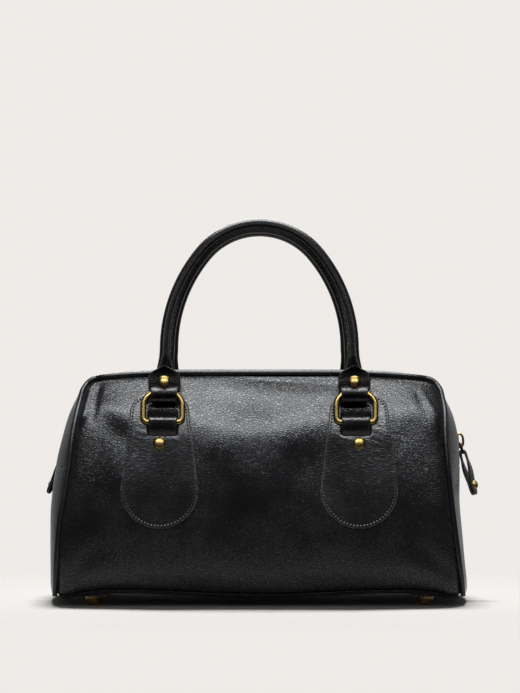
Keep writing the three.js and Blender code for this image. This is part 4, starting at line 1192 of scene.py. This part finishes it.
def make_floor():
    """A pale floor that fades into the pale backdrop away from the bag."""
    turn = around(FLOOR_SIDES, 0)
    points = np.concatenate([stacked(r * np.cos(turn), r * np.sin(turn), 0.0) for r in FLOOR_RADII])
    grid = np.arange(len(points)).reshape(-1, FLOOR_SIDES)
    here, there = grid[:-1], grid[1:]
    faces = stacked(there, np.roll(there, -1, 1), np.roll(here, -1, 1), here).reshape(-1, 4)
    mesh = bpy.data.meshes.new("floor")
    mesh.from_pydata(points.tolist(), [], [*faces.tolist(), list(range(FLOOR_SIDES))])
    look = Look("floor", PALE, 0.9, Specular_IOR_Level=0.1)
    away = look.add("ShaderNodeVectorMath", {0: look.stretched(FADE_SHAPE)}, operation="LENGTH")
    fade = look.ranged(away.outputs["Value"], FADE_FROM, FADE_TO)
    clear = look.add("ShaderNodeBsdfTransparent")
    mix = look.add("ShaderNodeMixShader", {0: fade, 1: look.shader.outputs[0], 2: clear.outputs[0]})
    look.tree.links.new(mix.outputs[0], look.tree.nodes["Material Output"].inputs["Surface"])
    mesh.materials.append(look.material)
    obj = bpy.data.objects.new("floor", mesh)
    bpy.context.scene.collection.objects.link(obj)
    return obj


def make_world():
    """A pale backdrop behind the bag, a dim room in front of it."""
    world = bpy.data.worlds.new("studio")
    world.use_nodes = True
    bpy.context.scene.world = world
    tree = world.node_tree
    place = add_node(tree, "ShaderNodeTexCoord").outputs["Generated"]
    depth = add_node(tree, "ShaderNodeSeparateXYZ", {0: place}).outputs["Y"]
    inputs = {"Value": depth, "From Min": 0.5, "From Max": 1.0, "To Min": 0.02, "To Max": 0.55}
    glow = add_node(tree, "ShaderNodeMapRange", inputs).outputs["Result"]
    room = add_node(tree, "ShaderNodeBackground", {"Color": (0.97, 0.98, 1.0, 1), "Strength": glow})
    seen = add_node(tree, "ShaderNodeBackground", {"Color": (*PALE, 1)})
    ray = add_node(tree, "ShaderNodeLightPath").outputs["Is Camera Ray"]
    mix = add_node(tree, "ShaderNodeMixShader", {0: ray, 1: room.outputs[0], 2: seen.outputs[0]})
    tree.links.new(mix.outputs[0], tree.nodes["World Output"].inputs["Surface"])


make_camera()
make_world()
floor = make_floor()
bpy.context.scene.view_settings.view_transform = "Standard"

for back in (1, -1):
    panel(back)
    zip_strip(back)
    pipings(back)
    handle(back)
    for right in (1, -1):
        patch(right, back)
        d_ring(right, back)
        ring_loop(right, back)
        handle_tab(right, back)
        patch_rivet(right, back)
        foot(right, back)
for right in (1, -1):
    end_panel(right)
    zip_slider(right)
    zip_pull(right)
base()
zip_chain()

# Lights, some of them for a few pieces alone.
leathers = [o for o in bpy.data.objects if o.name.endswith(("_leather", "_stitches"))]


def only(name, things, *starts):
    return flagged(name, [o for o in things if o.name.startswith(starts)], "INCLUDE")


shaded = [o for o in leathers if o.name.startswith(("handle", "ring_loop", "base_piping"))]
key_flags = flagged("key_flags", [floor, *shaded], "EXCLUDE")
rim_only = only("rim_only", leathers, "handle_front", "handle_back")
tabs_only = only("tabs_only", leathers, "handle_tab")
loops_only = only("loops_only", leathers, "ring_loop")
bag_only = flagged("bag_only", [floor], "EXCLUDE")
floor_only = flagged("floor_only", [floor], "INCLUDE")
sides_only = only("sides_only", bpy.data.objects, "end_panel", "zip", "pull")
AT_FRONT = (0, -0.07, 0.15)
softbox("key", (0.0, -1.30, 1.466), AT_FRONT, (2.4, 0.965), 87, key_flags, (0.95, 0.97, 1.0))
softbox("handle_light", (0.0, -1.43, 1.33), AT_FRONT, (2.4, 0.85), 6, rim_only)
softbox("tab_light", (0.0, -0.75, 1.75), AT_FRONT, (1.0, 0.4), 2.5, tabs_only)
softbox("loop_light", (0.0, -0.75, 1.75), AT_FRONT, (1.0, 0.4), 34, loops_only)
for way in (-1, 1):
    place, aim = (way * 1.3, -0.7, 0.7), (way * 0.08, -0.05, 0.22)
    softbox(f"rim_{SIDE[way]}", place, aim, (0.3, 1.0), 3.5, rim_only)
softbox("top", (0.0, 0.25, 1.7), (0, 0, 0.1), (1.4, 0.9), 54, bag_only)
softbox("back", (0.0, 1.5, 1.3), (0, 0.07, 0.15), (1.3, 1.0), 26, bag_only)
for way in (-1, 1):
    place, aim = (way * 1.5, 0.0, 1.0), (way * 0.15, 0, 0.1)
    softbox(f"side_{SIDE[way]}", place, aim, (1.0, 0.8), 10, sides_only)
softbox("floor_light", (0.0, 0.88, 4.0), (0, 0, 0), (1.3, 0.45), 172, floor_only)
softbox("floor_fill", (0.0, -1.6, 0.9), (0, -0.1, 0), (2.0, 1.0), 0.9, floor_only)
